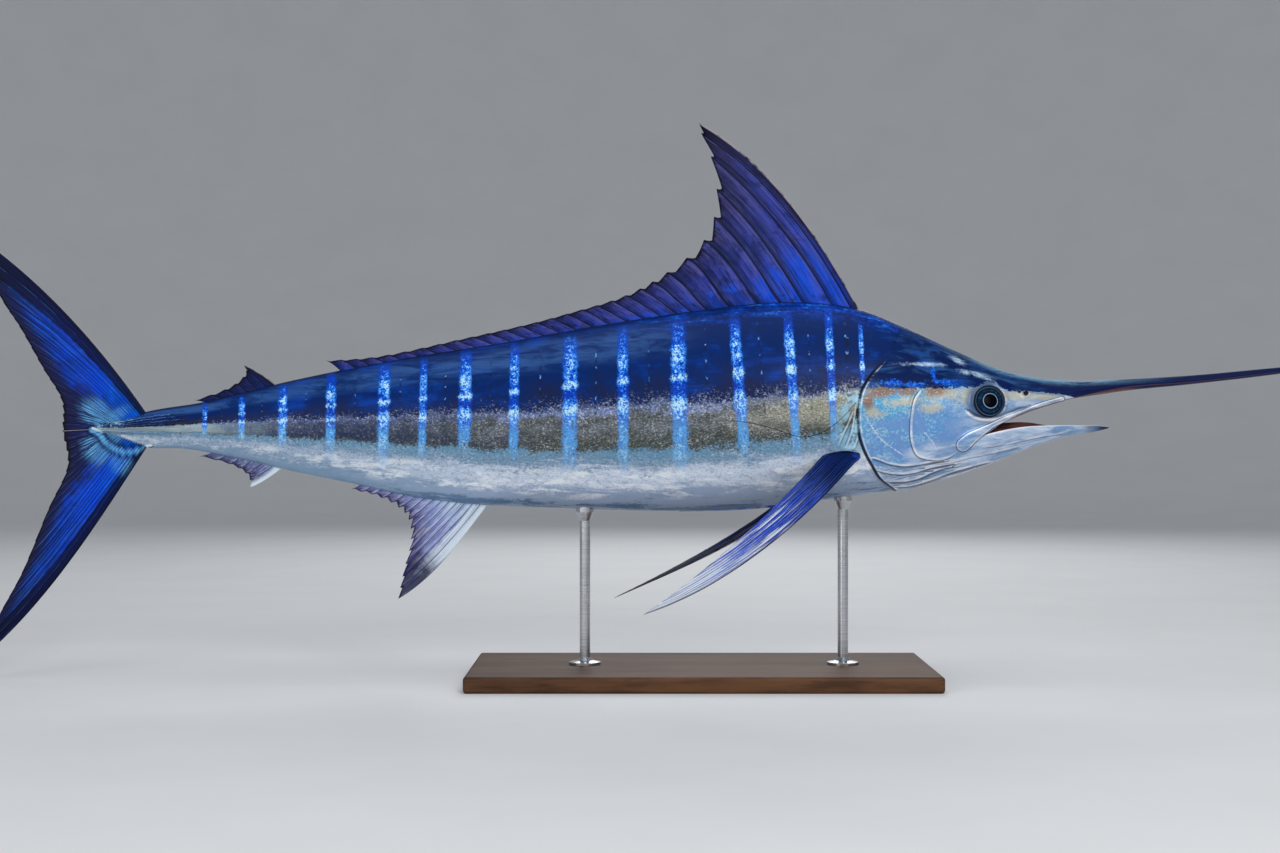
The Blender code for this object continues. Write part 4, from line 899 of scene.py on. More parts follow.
def skinMaterial():
    material = newMaterial("wetSkin")
    c = types.SimpleNamespace(**skinColours)
    place = point()
    tone, headward, gill, forward = kept("tone"), kept("headward"), kept("gill"), kept("forward")
    fine = noise(place, 190, 4, 0.7)
    grain = noise(point((0.7, 1.0, 1.0)), 330, 3, 0.8)
    broad = noise(place, 13, 4, 0.6)
    patchy = noise(point((0.6, 1.0, 1.0)), 38, 5, 0.65, 0.4)
    streaky = noise(point((0.16, 1.0, 1.0)), 60, 5, 0.65, 0.6)
    backward = rest(headward)
    # the tone wanders a little, so that the borders of the colours are ragged
    wander = wandering(tone, (patchy, 0.5), (fine, 0.5))
    low = wandering(tone, (streaky, 1.0), (fine, 0.3))
    coat = Layers(ramp(calc("DIVIDE", wander, 3.0), (
        (0.0, c.underBand), (0.305, c.underBand), (0.345, c.bandFoot), (0.41, c.bandLow), (0.5, c.bandMiddle),
        (0.57, c.bandMiddle), (0.625, c.bandLilac), (0.672, c.backLow), (0.75, c.back), (1.0, c.back))))
    # towards the keel the belly darkens, partly its own colour and partly painted shade of the underside
    belly = ramp(low, (
        (0.0, c.keel), (0.1, c.lilac), (0.27, c.lilac), (0.4, c.belly), (0.6, c.belly), (0.76, c.flank),
        (1.0, c.underBand)))
    coat.add(belly, grade(wander, 1.1, 0.86))
    coat.add(c.flank, grade(wander, 1.0, 0.8), grade(forward, 0.4, 0.24), grade(low, 0.9, 0.3, 0.3, 0.8))
    inBand = both(grade(wander, 0.98, 1.15), grade(wander, 2.0, 1.85))
    # the band is paler and golden towards the gill cover, and patchy everywhere
    coat.add(c.bandFoot, inBand, grade(patchy, 0.56, 0.42), 0.6)
    coat.add(c.bandGold, grade(wandering(gill, (patchy, 0.5)), -0.32, -0.04), inBand, grade(tone, 1.0, 1.6), 0.8)
    # pepper and salt on the band and the belly
    salted = both(grade(wander, 2.16, 1.95), grade(low, 0.15, 0.45))
    coat.add(c.grainDark, salted, grade(grain, 0.5, 0.38), scaled(inBand, 0.28, 0.34))
    salt = both(salted, grade(grain, 0.53, 0.66))
    saltShare = wandering(scaled(grade(tone, 1.3, 1.9), 0.3, 0.42), (patchy, 2.0))
    coat.add(c.grainPale, calc("MULTIPLY", salt, saltShare, clamp=True))
    # towards the tail the band is dusky, then gives way to silver
    coat.add(c.backLow, inBand, grade(wandering(forward, (broad, 0.2)), 0.45, 0.27),
             grade(fine, 0.3, 0.55, 0.35, 0.75))
    coat.add(mixColour(grade(streaky, 0.35, 0.65), c.flank, c.peduncle), inBand,
             grade(wandering(forward, (patchy, 0.1)), 0.24, 0.13), 0.9)
    # royal blue clouds in the dark back, a grey sheen on its top towards the tail, a blue strip under the fin
    onBack = grade(wander, 2.02, 2.14)
    coat.add(c.backBlue, onBack, grade(broad, 0.46, 0.66), grade(streaky, 0.38, 0.62), 0.9)
    coat.add(c.warm, onBack, grade(wander, 2.5, 2.1), grade(broad, 0.54, 0.4), 0.75)
    coat.add(c.backSheen, onBack, lineMask(tone, 2.72, 0.06, 0.22), grade(gill, -0.34, -0.5), backward,
             grade(streaky, 0.36, 0.64, 0.1, 0.95))
    mesh = noise(place, 120, 3, 0.7)
    mottled = wandering(streaky, (mesh, 0.7), (broad, 0.8))
    strip = wandering(kept("belowBack"), (broad, 0.05), (fine, 0.02))
    coat.add(mixColour(grade(mottled, 0.58, 0.8), c.strip, c.bar), grade(strip, 0.034, 0.018), backward,
             grade(gill, -0.62, -0.28), grade(mottled, 0.36, 0.62))
    # painted shade: a thin dark line along the top of the back, where the fins' bases meet it
    coat.add(c.stroke, grade(kept("belowBack"), 0.004, 0.0014), backward, grade(tone, 2.5, 2.8), 0.8)
    # pale crests of the belly
    ripples = noise(point((0.5, 1.0, 1.0)), 75, 4, 0.7, 1.2)
    coat.add(c.bellyWhite, grade(forward, 0.2, 0.4, 0.55, 1.0),
             grade(wandering(streaky, (ripples, 0.5), (broad, 0.4)), 0.48, 0.66), grade(tone, 0.12, 0.36),
             grade(tone, 0.84, 0.62), 0.9)
    coat.add(c.keel, grade(ripples, 0.46, 0.34), grade(tone, 0.16, 0.3), grade(tone, 1.05, 0.9), 0.35)
    wrinkle, soft = kept("wrinkleAway"), grade(streaky, 0.36, 0.6, 0.45, 1.0)
    shoulder = both(backward, grade(gill, -0.06, -0.03), grade(tone, 0.5, 0.7), grade(tone, 1.95, 1.7))
    coat.add(mixColour(fine, c.cheek, c.cheekPale), shoulder, grade(wandering(broad, (patchy, 1.0)), 0.34, 0.56),
             0.75)
    # painted highlight on the raised creases of the shoulder, and painted shade just beside them
    coat.add(c.strokePale, shoulder, lineMask(wrinkle, 0.0, 0.0006, 0.0018), soft, 0.5)
    coat.add(c.stroke, shoulder, lineMask(wrinkle, 0.0032, 0.0006, 0.0014), soft, 0.5)
    onSide = grade(tone, 2.42, 2.3)
    # head: cheek and throat, with cream and bronze patches above
    cheek = Layers(mixColour(grade(wandering(tone, (broad, 2.0), (fine, 0.6)), 0.98, 0.52), c.cheek, c.cheekLilac))
    cheek.add(c.cheekBlue, grade(forward, 0.7, 0.725),
              grade(wandering(broad, (patchy, 1.0), (fine, 0.5)), 0.42, 0.62), 0.8)
    cheek.add(c.cheekPale, grade(wandering(patchy, (fine, 0.8)), 0.4, 0.66),
              grade(wandering(grain, (fine, 0.8)), 0.36, 0.64), 0.6)
    cheek.add(c.cheekLilac, grade(patchy, 0.47, 0.36), grade(fine, 0.6, 0.42), 0.7)
    cheek.add(c.lavender, grade(wandering(tone, (patchy, 1.4)), 1.25, 0.7),
              grade(wandering(patchy, (fine, 1.0)), 0.64, 0.36), 0.75)
    cheek.add(c.cheekBlue, grade(grain, 0.47, 0.36), grade(patchy, 0.36, 0.6, 0.3, 0.65))
    throat = mixColour(grade(streaky, 0.36, 0.66), c.throat, c.throatPale)
    cheek.add(throat, grade(wandering(tone, (broad, 0.8)), 0.52, 0.3))
    cheek.add(throat, grade(forward, 0.735, 0.775))
    onHead = both(headward, grade(wandering(wander, (fine, 0.5)), 2.02, 1.94))
    coat.add(cheek.shade, onHead)
    coat.add(c.cream, onHead, grade(wandering(kept("cream"), (patchy, 1.6), (fine, 1.8)), 0.15, 0.95), 0.85)
    coat.add(c.bronze, onHead, grade(wandering(kept("bronze"), (patchy, 1.4), (grain, 1.4)), 0.18, 0.8), 0.9)
    coat.add(c.strokePale, onHead, grade(grain, 0.56, 0.66), grade(tone, 0.7, 1.1), grade(forward, 0.79, 0.74), 0.6)
    # painted shadow: a dark ring round the eye on its side towards the tail
    coat.add(c.socket, onHead, grade(kept("eyeAway"), 0.052, 0.034), grade(forward, 0.79, 0.768), 0.85)
    # dark cap and bill, with bright blue patches over the cheek and pale reflections
    # above the gill cover the cap runs into the back without an edge
    nape = grade(wandering(gill, (broad, 0.16), (patchy, 0.06)), -0.03, 0.06)
    nape = most(nape, both(headward, onSide))
    onCap = both(nape, grade(wander, 1.97, 2.03))
    cap = Layers(mixColour(grade(wandering(streaky, (broad, 0.6)), 0.44, 0.78), c.cap, c.capSheen))
    cap.add(c.backBlue, grade(broad, 0.52, 0.64), grade(streaky, 0.44, 0.6), 0.7)
    coat.add(cap.shade, onCap)
    coat.add(c.bill, grade(forward, 0.78, 0.86), grade(tone, 1.9, 2.0))
    coat.add(mixColour(grade(grain, 0.46, 0.62), c.barDeep, c.bar), headward,
             grade(wandering(kept("blueGlow"), (fine, 3.4), (patchy, 1.8), (mesh, 1.4)), 0.38, 0.62),
             grade(wander, 1.96, 2.02), grade(kept("blueGlow"), 0.06, 0.2))
    coat.add(c.shine, grade(wandering(kept("shine"), (fine, 1.4), (streaky, 2.0)), 0.15, 1.35),
             grade(kept("shine"), 0.01, 0.12), 0.9)
    # painted highlight: a pale streak along the top of the snout and bill
    coat.add(c.crest, grade(wandering(kept("belowBack"), (streaky, 0.03), (fine, 0.006)), 0.01, -0.001),
             grade(forward, 0.72, 0.79), grade(forward, 0.93, 0.83), grade(streaky, 0.34, 0.56, 0.2, 1.0), 0.75)
    # light-blue bars: a mosaic of deep, light and whitish blue, plain below the band
    phase = kept("barPhase")
    across = both(fromWhole(phase), kept("barWidths"))
    along = kept("barAlong")
    speck = noise(place, 260, 3, 0.8)
    glow = kept("barGlow")
    # a little narrower where the bar glows less
    ragged = wandering(across, (speck, 2.4), (mesh, 1.2), (patchy, 0.7))
    ragged = scaled(glow, -0.22, calc("ADD", ragged, 0.16))
    bar = both(grade(ragged, 1.1, 0.9), grade(wandering(along, (speck, 0.5), (broad, 0.5)), 0.0, 0.25),
               grade(wandering(along, (speck, 0.2)), 1.05, 0.94), grade(across, 1.9, 1.4), backward,
               grade(phase, 0.55, 0.65))
    mosaic = wandering(glow, (speck, 2.0), (mesh, 1.4), (noise(point((0.3, 0.2, 1.0)), 60, 1, 0.5), 0.5))
    barShade = Layers(mixColour(grade(mosaic, 0.44, 0.58), c.barDeep, c.bar))
    barShade.add(c.barWhite, grade(mosaic, 0.66, 0.86))
    barShade.add(mixColour(both(grade(mosaic, 0.42, 0.85), 0.8), c.barLow, c.barWhite), grade(tone, 1.85, 1.35))
    coat.add(barShade.shade, bar, grade(tone, 0.3, 1.25, 0.3, 1.0),
             grade(wandering(speck, (mesh, 0.5)), 0.32, 0.5, 0.2, 1.0))
    # faint dotted lines between the bars: a point over a short dark dash
    fromDots = fromWhole(kept("dotPhase"))
    steps = calc("FRACT", wandering(both(tone, 5.6), (mesh, 1.2)))
    columns = both(grade(tone, 1.2, 1.9), grade(tone, 2.85, 2.6), backward)
    coat.add(c.stroke, columns, grade(fromDots, 0.03, 0.014), grade(steps, 0.55, 0.45), grade(steps, 0.1, 0.2), 0.6)
    coat.add(mixColour(mesh, c.bar, c.barWhite), columns, grade(fromDots, 0.02, 0.008),
             lineMask(steps, 0.68, 0.015, 0.04), grade(patchy, 0.42, 0.56), 0.9)
    # lateral line
    coat.add(c.stroke, lineMask(kept("lateral"), 0.0, 0.0005, 0.0009), backward, grade(gill, -0.3, -0.2), 0.8)
    # pale and dark strokes along the lines of the face: the pale ones are painted highlight on the ridges, with the
    # pores' own pale dots; the dark ones are painted shade in the grooves
    fold, rays, maxilla = kept("foldAway"), kept("rayAway"), kept("maxillaAway")
    crease, under = kept("creaseAway"), kept("underEyeAway")
    pores = both(lineMask(kept("poreAway"), 0.0, 0.0004, 0.0012), grade(grain, 0.4, 0.52))
    pale = most(lineMask(fold, 0.0026, 0.0012, 0.0018), lineMask(rays, 0.0022, 0.001, 0.002),
                lineMask(maxilla, -0.0012, 0.0004, 0.0012), pores, both(lineMask(crease, 0.0024, 0.0006, 0.002), 0.6),
                lineMask(under, 0.0, 0.0012, 0.003))
    coat.add(c.strokePale, pale, soft, headward, grade(tone, 2.0, 1.8), 0.85)
    dark = most(lineMask(fold, -0.0008, 0.0003, 0.0011), lineMask(maxilla, 0.001, 0.0003, 0.001),
                both(lineMask(rays, -0.0008, 0.0006, 0.0018), 0.9),
                both(lineMask(crease, -0.0006, 0.0003, 0.0014), 0.6),
                both(lineMask(under, 0.0052, 0.001, 0.0036), 0.75))
    coat.add(c.stroke, dark, headward, 0.75)
    # painted highlight along the free edge of the gill cover, and painted shadow in the gap under it
    coat.add(c.strokePale, lineMask(gill, 0.004, 0.0004, 0.002), headward, onSide, grade(streaky, 0.4, 0.58), 0.6)
    coat.add(c.stroke, lineMask(gill, -0.0012, 0.0018, 0.0022), onSide, 0.9)
    # painted shade: the skin darkened where it dips between the eye and its raised rim
    coat.add(c.stroke, grade(kept("eyeAway"), 0.0325, 0.0292), 0.95)
    # the peduncle: a dark line along its middle, a pale fold over the lower lobe and glints at the lobes' bases
    tailward = grade(forward, 0.175, 0.15)
    coat.add(c.stroke, tailward, lineMask(wander, 2.0, 0.04, 0.08), 0.9)
    tailFold = kept("tailFold")
    coat.add(c.bellyWhite, lineMask(tailFold, 0.003, 0.0015, 0.003), 0.9)
    # painted shade along one side of the fold
    coat.add(c.stroke, lineMask(tailFold, -0.002, 0.0008, 0.003), 0.8)
    glints = grade(wandering(kept("glitter"), (grain, 2.4), (streaky, 1.6)), 0.4, 0.9)
    coat.add(c.barWhite, glints, grade(kept("glitter"), 0.05, 0.2), 0.65)
    # painted shade: the nostrils' pits darkened
    coat.add(c.stroke, grade(kept("pit"), 0.25, 0.55), headward)
    # dark tip of the lower jaw, then the inside of the mouth
    coat.add(c.bill, grade(wandering(forward, (streaky, 0.04)), 0.842, 0.862), grade(tone, 1.9, 1.5))
    coat.add(c.strokePale, kept("lowerRim"), grade(forward, 0.765, 0.775), 0.8)
    coat.add(c.rim, kept("upperRim"), grade(forward, 0.775, 0.8), 0.8)
    coat.add(mixColour(grade(streaky, 0.4, 0.7), c.mouth, c.gum), kept("mouth"))
    scales = node("TexVoronoi", {"Vector": point((1.0, 3.0, 3.4)), "Scale": 150})
    silver = grade(wander, 2.0, 1.7)
    roughness = scaled(fine, 0.2, 0.26)
    metallic = both(silver, 0.25, rest(kept("mouth")))
    return finish(material, coat.shade, roughness,
                  ((broad, 0.25, 0.003), (streaky, 0.25, 0.0014), (grain, 0.12, 0.0006), (scales, 0.14, 0.0006)),
                  Metallic=metallic, Specular_IOR_Level=0.08, Coat_Weight=scaled(silver, 0.1, 0.01),
                  Coat_Roughness=0.12)


# Fins. A ray is (share of the rays, root x, root z, end x, end z, direction at the root and at the end in
# degrees from +X). The first is the leading edge. rayShares are the shares at which the raised rays lie.
fins = {
    "dorsalFin": {
        "rays": (
            (0.0, 0.393, 0.69, 0.082, 1.059, 118, 151), (0.03, 0.377, 0.692, 0.086, 1.04, 117, 147),
            (0.08, 0.343, 0.695, 0.104, 0.995, 117, 141), (0.14, 0.289, 0.7, 0.115, 0.933, 120, 138),
            (0.19, 0.245, 0.7, 0.11, 0.88, 124, 141), (0.24, 0.205, 0.7, 0.091, 0.836, 130, 147),
            (0.3, 0.15, 0.698, 0.058, 0.802, 138, 151), (0.4, 0.055, 0.685, -0.03, 0.744, 148, 154),
            (0.55, -0.1, 0.66, -0.17, 0.696, 154, 158), (0.75, -0.31, 0.625, -0.37, 0.648, 157, 160),
            (0.92, -0.5, 0.59, -0.55, 0.612, 158, 163), (1.0, -0.583, 0.575, -0.627, 0.607, 148, 160)),
        "rayShares": (0.0, 0.03, 0.08, 0.14, 0.19, 0.24, 0.3, 0.345, 0.375, 0.4, *np.linspace(0.43, 1.0, 20)),
        "columnsPerRay": 11, "rows": 40, "root": 0.0052, "edge": 0.0009, "web": 0.42, "between": 2,
        "notch": ((0.0, 0.004), (0.08, 0.012), (0.3, 0.011), (0.4, 0.006), (1.0, 0.005)), "flare": 0.005,
        "billow": 0.004, "darkTip": 0.75, "nodes": ("dorsal_fin_front", "dorsal_fin_rear"), "slot": "dorsal_fin",
    },
    "secondDorsalFin": {
        "rays": (
            (0.0, -0.706, 0.55, -0.783, 0.598, 140, 158), (0.25, -0.735, 0.54, -0.78, 0.582, 142, 160),
            (0.5, -0.762, 0.535, -0.8, 0.563, 148, 165), (0.75, -0.795, 0.53, -0.832, 0.547, 160, 168),
            (1.0, -0.832, 0.521, -0.878, 0.532, 165, 172)),
        "rayShares": tuple(np.linspace(0, 1, 7)), "columnsPerRay": 10, "rows": 22, "root": 0.0036, "edge": 0.0006,
        "web": 0.45, "between": 1, "notch": ((0.0, 0.003), (1.0, 0.005)), "flare": 0.0035, "billow": 0.001,
        "darkTip": 0.85, "nodes": ("second_dorsal_fin",), "slot": "dorsal_fin", "look": "dusky",
    },
    "analFin": {
        "rays": (
            (0.0, -0.306, 0.35, -0.49, 0.154, 231, 210), (0.17, -0.338, 0.355, -0.48, 0.205, 231, 225),
            (0.34, -0.372, 0.358, -0.466, 0.262, 230, 228), (0.5, -0.402, 0.362, -0.47, 0.304, 224, 218),
            (0.67, -0.44, 0.368, -0.494, 0.331, 214, 205), (0.84, -0.49, 0.378, -0.535, 0.351, 208, 198),
            (1.0, -0.535, 0.388, -0.58, 0.362, 207, 198)),
        "rayShares": tuple(np.linspace(0, 1, 15)), "columnsPerRay": 10, "rows": 34, "root": 0.007, "edge": 0.0008,
        "web": 0.45, "between": 2, "notch": ((0.0, 0.004), (0.3, 0.009), (1.0, 0.006)), "flare": 0.006,
        "billow": 0.002, "darkTip": 1.0, "nodes": ("anal_fin",), "slot": "pale_fin",
    },
    "secondAnalFin": {
        "rays": (
            (0.0, -0.696, 0.412, -0.771, 0.366, 212, 200), (0.25, -0.722, 0.42, -0.774, 0.387, 212, 200),
            (0.5, -0.752, 0.43, -0.793, 0.402, 212, 197), (0.75, -0.783, 0.437, -0.823, 0.414, 208, 192),
            (1.0, -0.818, 0.443, -0.868, 0.425, 203, 188)),
        "rayShares": tuple(np.linspace(0, 1, 7)), "columnsPerRay": 10, "rows": 22, "root": 0.0036, "edge": 0.0006,
        "web": 0.45, "between": 1, "notch": ((0.0, 0.003), (1.0, 0.005)), "flare": 0.0035, "billow": 0.001,
        "darkTip": 0.0, "nodes": ("second_anal_fin",), "slot": "pale_fin", "look": "blade",
    },
    "upperTailLobe": {
        "rays": (
            (0.0, -0.958, 0.492, -1.319, 0.863, 124, 147), (0.2, -0.975, 0.49, -1.246, 0.728, 130, 146),
            (0.4, -0.992, 0.488, -1.208, 0.669, 136, 148), (0.6, -1.008, 0.486, -1.166, 0.594, 143, 152),
            (0.8, -1.022, 0.483, -1.13, 0.532, 152, 160), (1.0, -1.035, 0.478, -1.128, 0.4735, 183, 184)),
        "rayShares": tuple(np.linspace(0, 1, 19)), "columnsPerRay": 9, "rows": 44, "root": 0.008, "edge": 0.001,
        "web": 0.62, "between": 2, "notch": ((0.0, 0.002), (1.0, 0.003)), "flare": 0.004, "billow": 0.0,
        "darkTip": 0.65, "nodes": ("caudal_fin_upper",), "slot": "caudal_fin",
    },
    "lowerTailLobe": {
        "rays": (
            (0.0, -0.955, 0.462, -1.3, 0.025, 237, 219), (0.2, -0.972, 0.464, -1.246, 0.128, 232, 226),
            (0.4, -0.99, 0.466, -1.203, 0.208, 228, 226), (0.6, -1.006, 0.469, -1.156, 0.322, 220, 223),
            (0.8, -1.02, 0.473, -1.119, 0.405, 208, 212), (1.0, -1.035, 0.4775, -1.128, 0.4725, 183, 184)),
        "rayShares": tuple(np.linspace(0, 1, 19)), "columnsPerRay": 9, "rows": 44, "root": 0.008, "edge": 0.001,
        "web": 0.62, "between": 2, "notch": ((0.0, 0.002), (1.0, 0.003)), "flare": 0.004, "billow": 0.0,
        "darkTip": 0.65, "nodes": ("caudal_fin_lower",), "slot": "caudal_fin",
    },
}

# A pectoral fin laid flat: along it as a share of its length, across it in metres.
pectoral = {
    "rays": (
        (0.0, 0.0, 0.027, 1.0, 0.0, 1, -5), (0.25, 0.0, 0.014, 0.93, -0.003, 0, -3),
        (0.5, 0.0, 0.001, 0.76, -0.01, -1, -2), (0.75, 0.0, -0.012, 0.52, -0.018, -1, -1),
        (1.0, 0.0, -0.026, 0.22, -0.024, 0, 0)),
    "rayShares": tuple(np.linspace(0, 1, 15)), "columnsPerRay": 7, "rows": 90, "thick": 0.0078, "edge": 0.0009,
    "web": 0.62, "between": 2, "boss": 0.001, "notch": ((0.0, 0.003), (1.0, 0.005)), "length": 0.49,
    "root": (0.352, 0.062, 0.434), "capLength": 0.046, "capRows": 14, "capOut": 0.0016, "capShift": 0.012,
    "bossReach": 0.13, "slant": 0.08, "front": 0.027, "chord": 0.053, "slantPower": 8, "taper": 1.3, "frontRays": 1.3,
    "frontLeast": 0.03, "backLeast": 0.15, "least": 0.0003,
    "poses": {
        "rightPectoralFin": ("pectoral_fin_right", (-0.025, -0.2, 0.1414), (-0.556, -0.42, -0.579),
                             (-0.826, -0.391, -0.406), 24),
        "leftPectoralFin": ("pectoral_fin_left", (-0.0823, 0.2, 0.1394), (-0.606, 0.4, -0.777),
                            (-0.893, 0.116, -0.435), 98),
    },
}


def swing(start, end, leave, arrive, t):
    # cubic curve from start to end that leaves and arrives in given directions
    reach = np.linalg.norm(end - start, axis=-1, keepdims=True)
    t = t[..., None]
    return ((2 * t**3 - 3 * t**2 + 1) * start + (t**3 - 2 * t**2 + t) * leave * reach
            + (3 * t**2 - 2 * t**3) * end + (t**3 - t**2) * arrive * reach)


notchShape = {"power": 1.2, "back": 0.84, "depth": 1.3, "most": 0.3}


def fanGrid(fin):
    # flat fin: the column's share of the rays gives its curve, the row its place along it; behind each ray
    # the edge draws in as a power of the phase, and just before the next ray it steps out again
    shares = np.array(fin["rayShares"])
    phase = np.linspace(0, len(shares) - 1, (len(shares) - 1) * fin["columnsPerRay"] + 1)
    share = np.interp(phase, np.arange(len(shares)), shares)
    values = curve(fin["rays"], share)[:, None, :]
    start, end = values[..., 0:2], values[..., 2:4]
    leave, arrive = np.radians(values[..., 4]), np.radians(values[..., 5])
    reach = np.linalg.norm(end - start, axis=-1)[:, 0]
    behindRay = phase % 1
    between = behindRay ** notchShape["power"] * (1 - easeStep(behindRay, notchShape["back"], 1.0))
    between = between * notchShape["depth"]
    last = 1 - np.minimum(curve(fin["notch"], share) * between / reach, notchShape["most"])
    t = np.linspace(0, 1, fin["rows"])[None, :] * last[:, None]
    flat = swing(start, end, np.stack([np.cos(leave), np.sin(leave)], axis=-1),
                 np.stack([np.cos(arrive), np.sin(arrive)], axis=-1), t)
    return flat, t, phase, share, reach


# half widths of rays and ribs in their own steps; then how a flat fin thins towards its edges, and how it waves
rayShape = {"ray": 0.15, "rib": 0.25, "ribHeight": 0.55, "ribsFrom": 0.15, "ribsTo": 0.5}
finShape = {"taper": 1.4, "flareReach": 0.022, "frontRays": 0.55, "frontThin": 0.94, "least": 0.00025,
            "rimFrom": 0.93, "rimThin": 0.65, "rimLeast": 0.00022, "waves": 3.2, "waveShift": 2.0}


def rayProfile(fin, phase, t):
    # thickness across the rays: a bell on each ray over a thin web, with lower ribs in between that
    # branch off halfway along
    away = np.abs(phase - np.round(phase))
    ray = np.exp(-(away / rayShape["ray"]) ** 2)[:, None] * np.ones_like(t)
    ribs = fin["between"] + 1
    fine = np.abs(phase * ribs - np.round(phase * ribs))
    rib = rayShape["ribHeight"] * np.exp(-(fine / rayShape["rib"]) ** 2)
    ray = np.maximum(ray, rib[:, None] * easeStep(t, rayShape["ribsFrom"], rayShape["ribsTo"]))
    return fin["web"] + (1 - fin["web"]) * ray


def sheetPiece(name, grid, half, normal, values, nodes, material, shadedInnerFace=0):
    # a closed piece round a sheet: the sheet moved by its half thickness to both sides, joined at the rim
    columns, rows = half.shape
    offset = normal * half[..., None]
    index = np.arange(columns * rows).reshape(columns, rows)
    far = columns * rows
    rim = np.concatenate([index[:, 0], index[-1, 1:], index[-2::-1, -1], index[0, -2:0:-1]])
    after = np.roll(rim, -1)
    quads = np.vstack([gridFaces(index), gridFaces(index)[:, ::-1] + far,
                       np.stack([rim, rim + far, after + far, after], axis=-1)])
    points = np.concatenate([(grid + offset).reshape(-1, 3), (grid - offset).reshape(-1, 3)])
    values = {key: np.tile(np.broadcast_to(value, half.shape).ravel(), 2) for key, value in values.items()}
    if shadedInnerFace:
        values["shadedInnerFace"] = np.repeat([shadedInnerFace < 0, shadedInnerFace > 0], far)
    return makePiece(name, points, quads, (), values, nodes, material)


def makeFlatFin(name, fin, material):
    flat, t, phase, share, reach = fanGrid(fin)
    root, edge = fin["root"], fin["edge"]
    half = (edge + (root - edge) * (1 - t) ** finShape["taper"]) * rayProfile(fin, phase, t)
    half = half + fin["flare"] * np.exp(-(t * reach[:, None] / finShape["flareReach"]) ** 2)
    fromFront = np.clip(phase / finShape["frontRays"], 0, 1)[:, None]
    half = np.maximum(half * np.sqrt(1 - (1 - fromFront) ** 2 * finShape["frontThin"]), finShape["least"])
    half *= 1 - finShape["rimThin"] * easeStep(t / t[:, -1:], finShape["rimFrom"], 1.0)
    half = np.maximum(half, finShape["rimLeast"])
    wave = fin["billow"] * np.sin(finShape["waves"] * share[:, None] * math.pi + finShape["waveShift"] * t) * t
    grid = placed(flat[..., 0], wave, flat[..., 1])
    values = {"ray": phase[:, None], "out": t, "across": share[:, None],
              "toEdge": (t[:, -1:] - t) * reach[:, None], "fromFront": phase[:, None] + 0 * t}
    values["tipward"] = t * (reach / reach.max())[:, None] * fin["darkTip"]
    if fin["slot"] == "caudal_fin":
        flatPoints = grid.reshape(-1, 3)
        away = fromLine(seen(flatPoints), marks["tailFold"])[0].reshape(t.shape)
        values["sheath"] = softPatches(flatPoints, patches["sheath"]).reshape(t.shape)
        values["fold"] = np.exp(-(away / 0.0045) ** 4)
        values["foldShade"] = np.exp(-((np.abs(away) - 0.0085) / 0.004) ** 2)
    return sheetPiece(name, grid, half, np.array([0.0, 1.0, 0.0]), values, fin["nodes"], material)


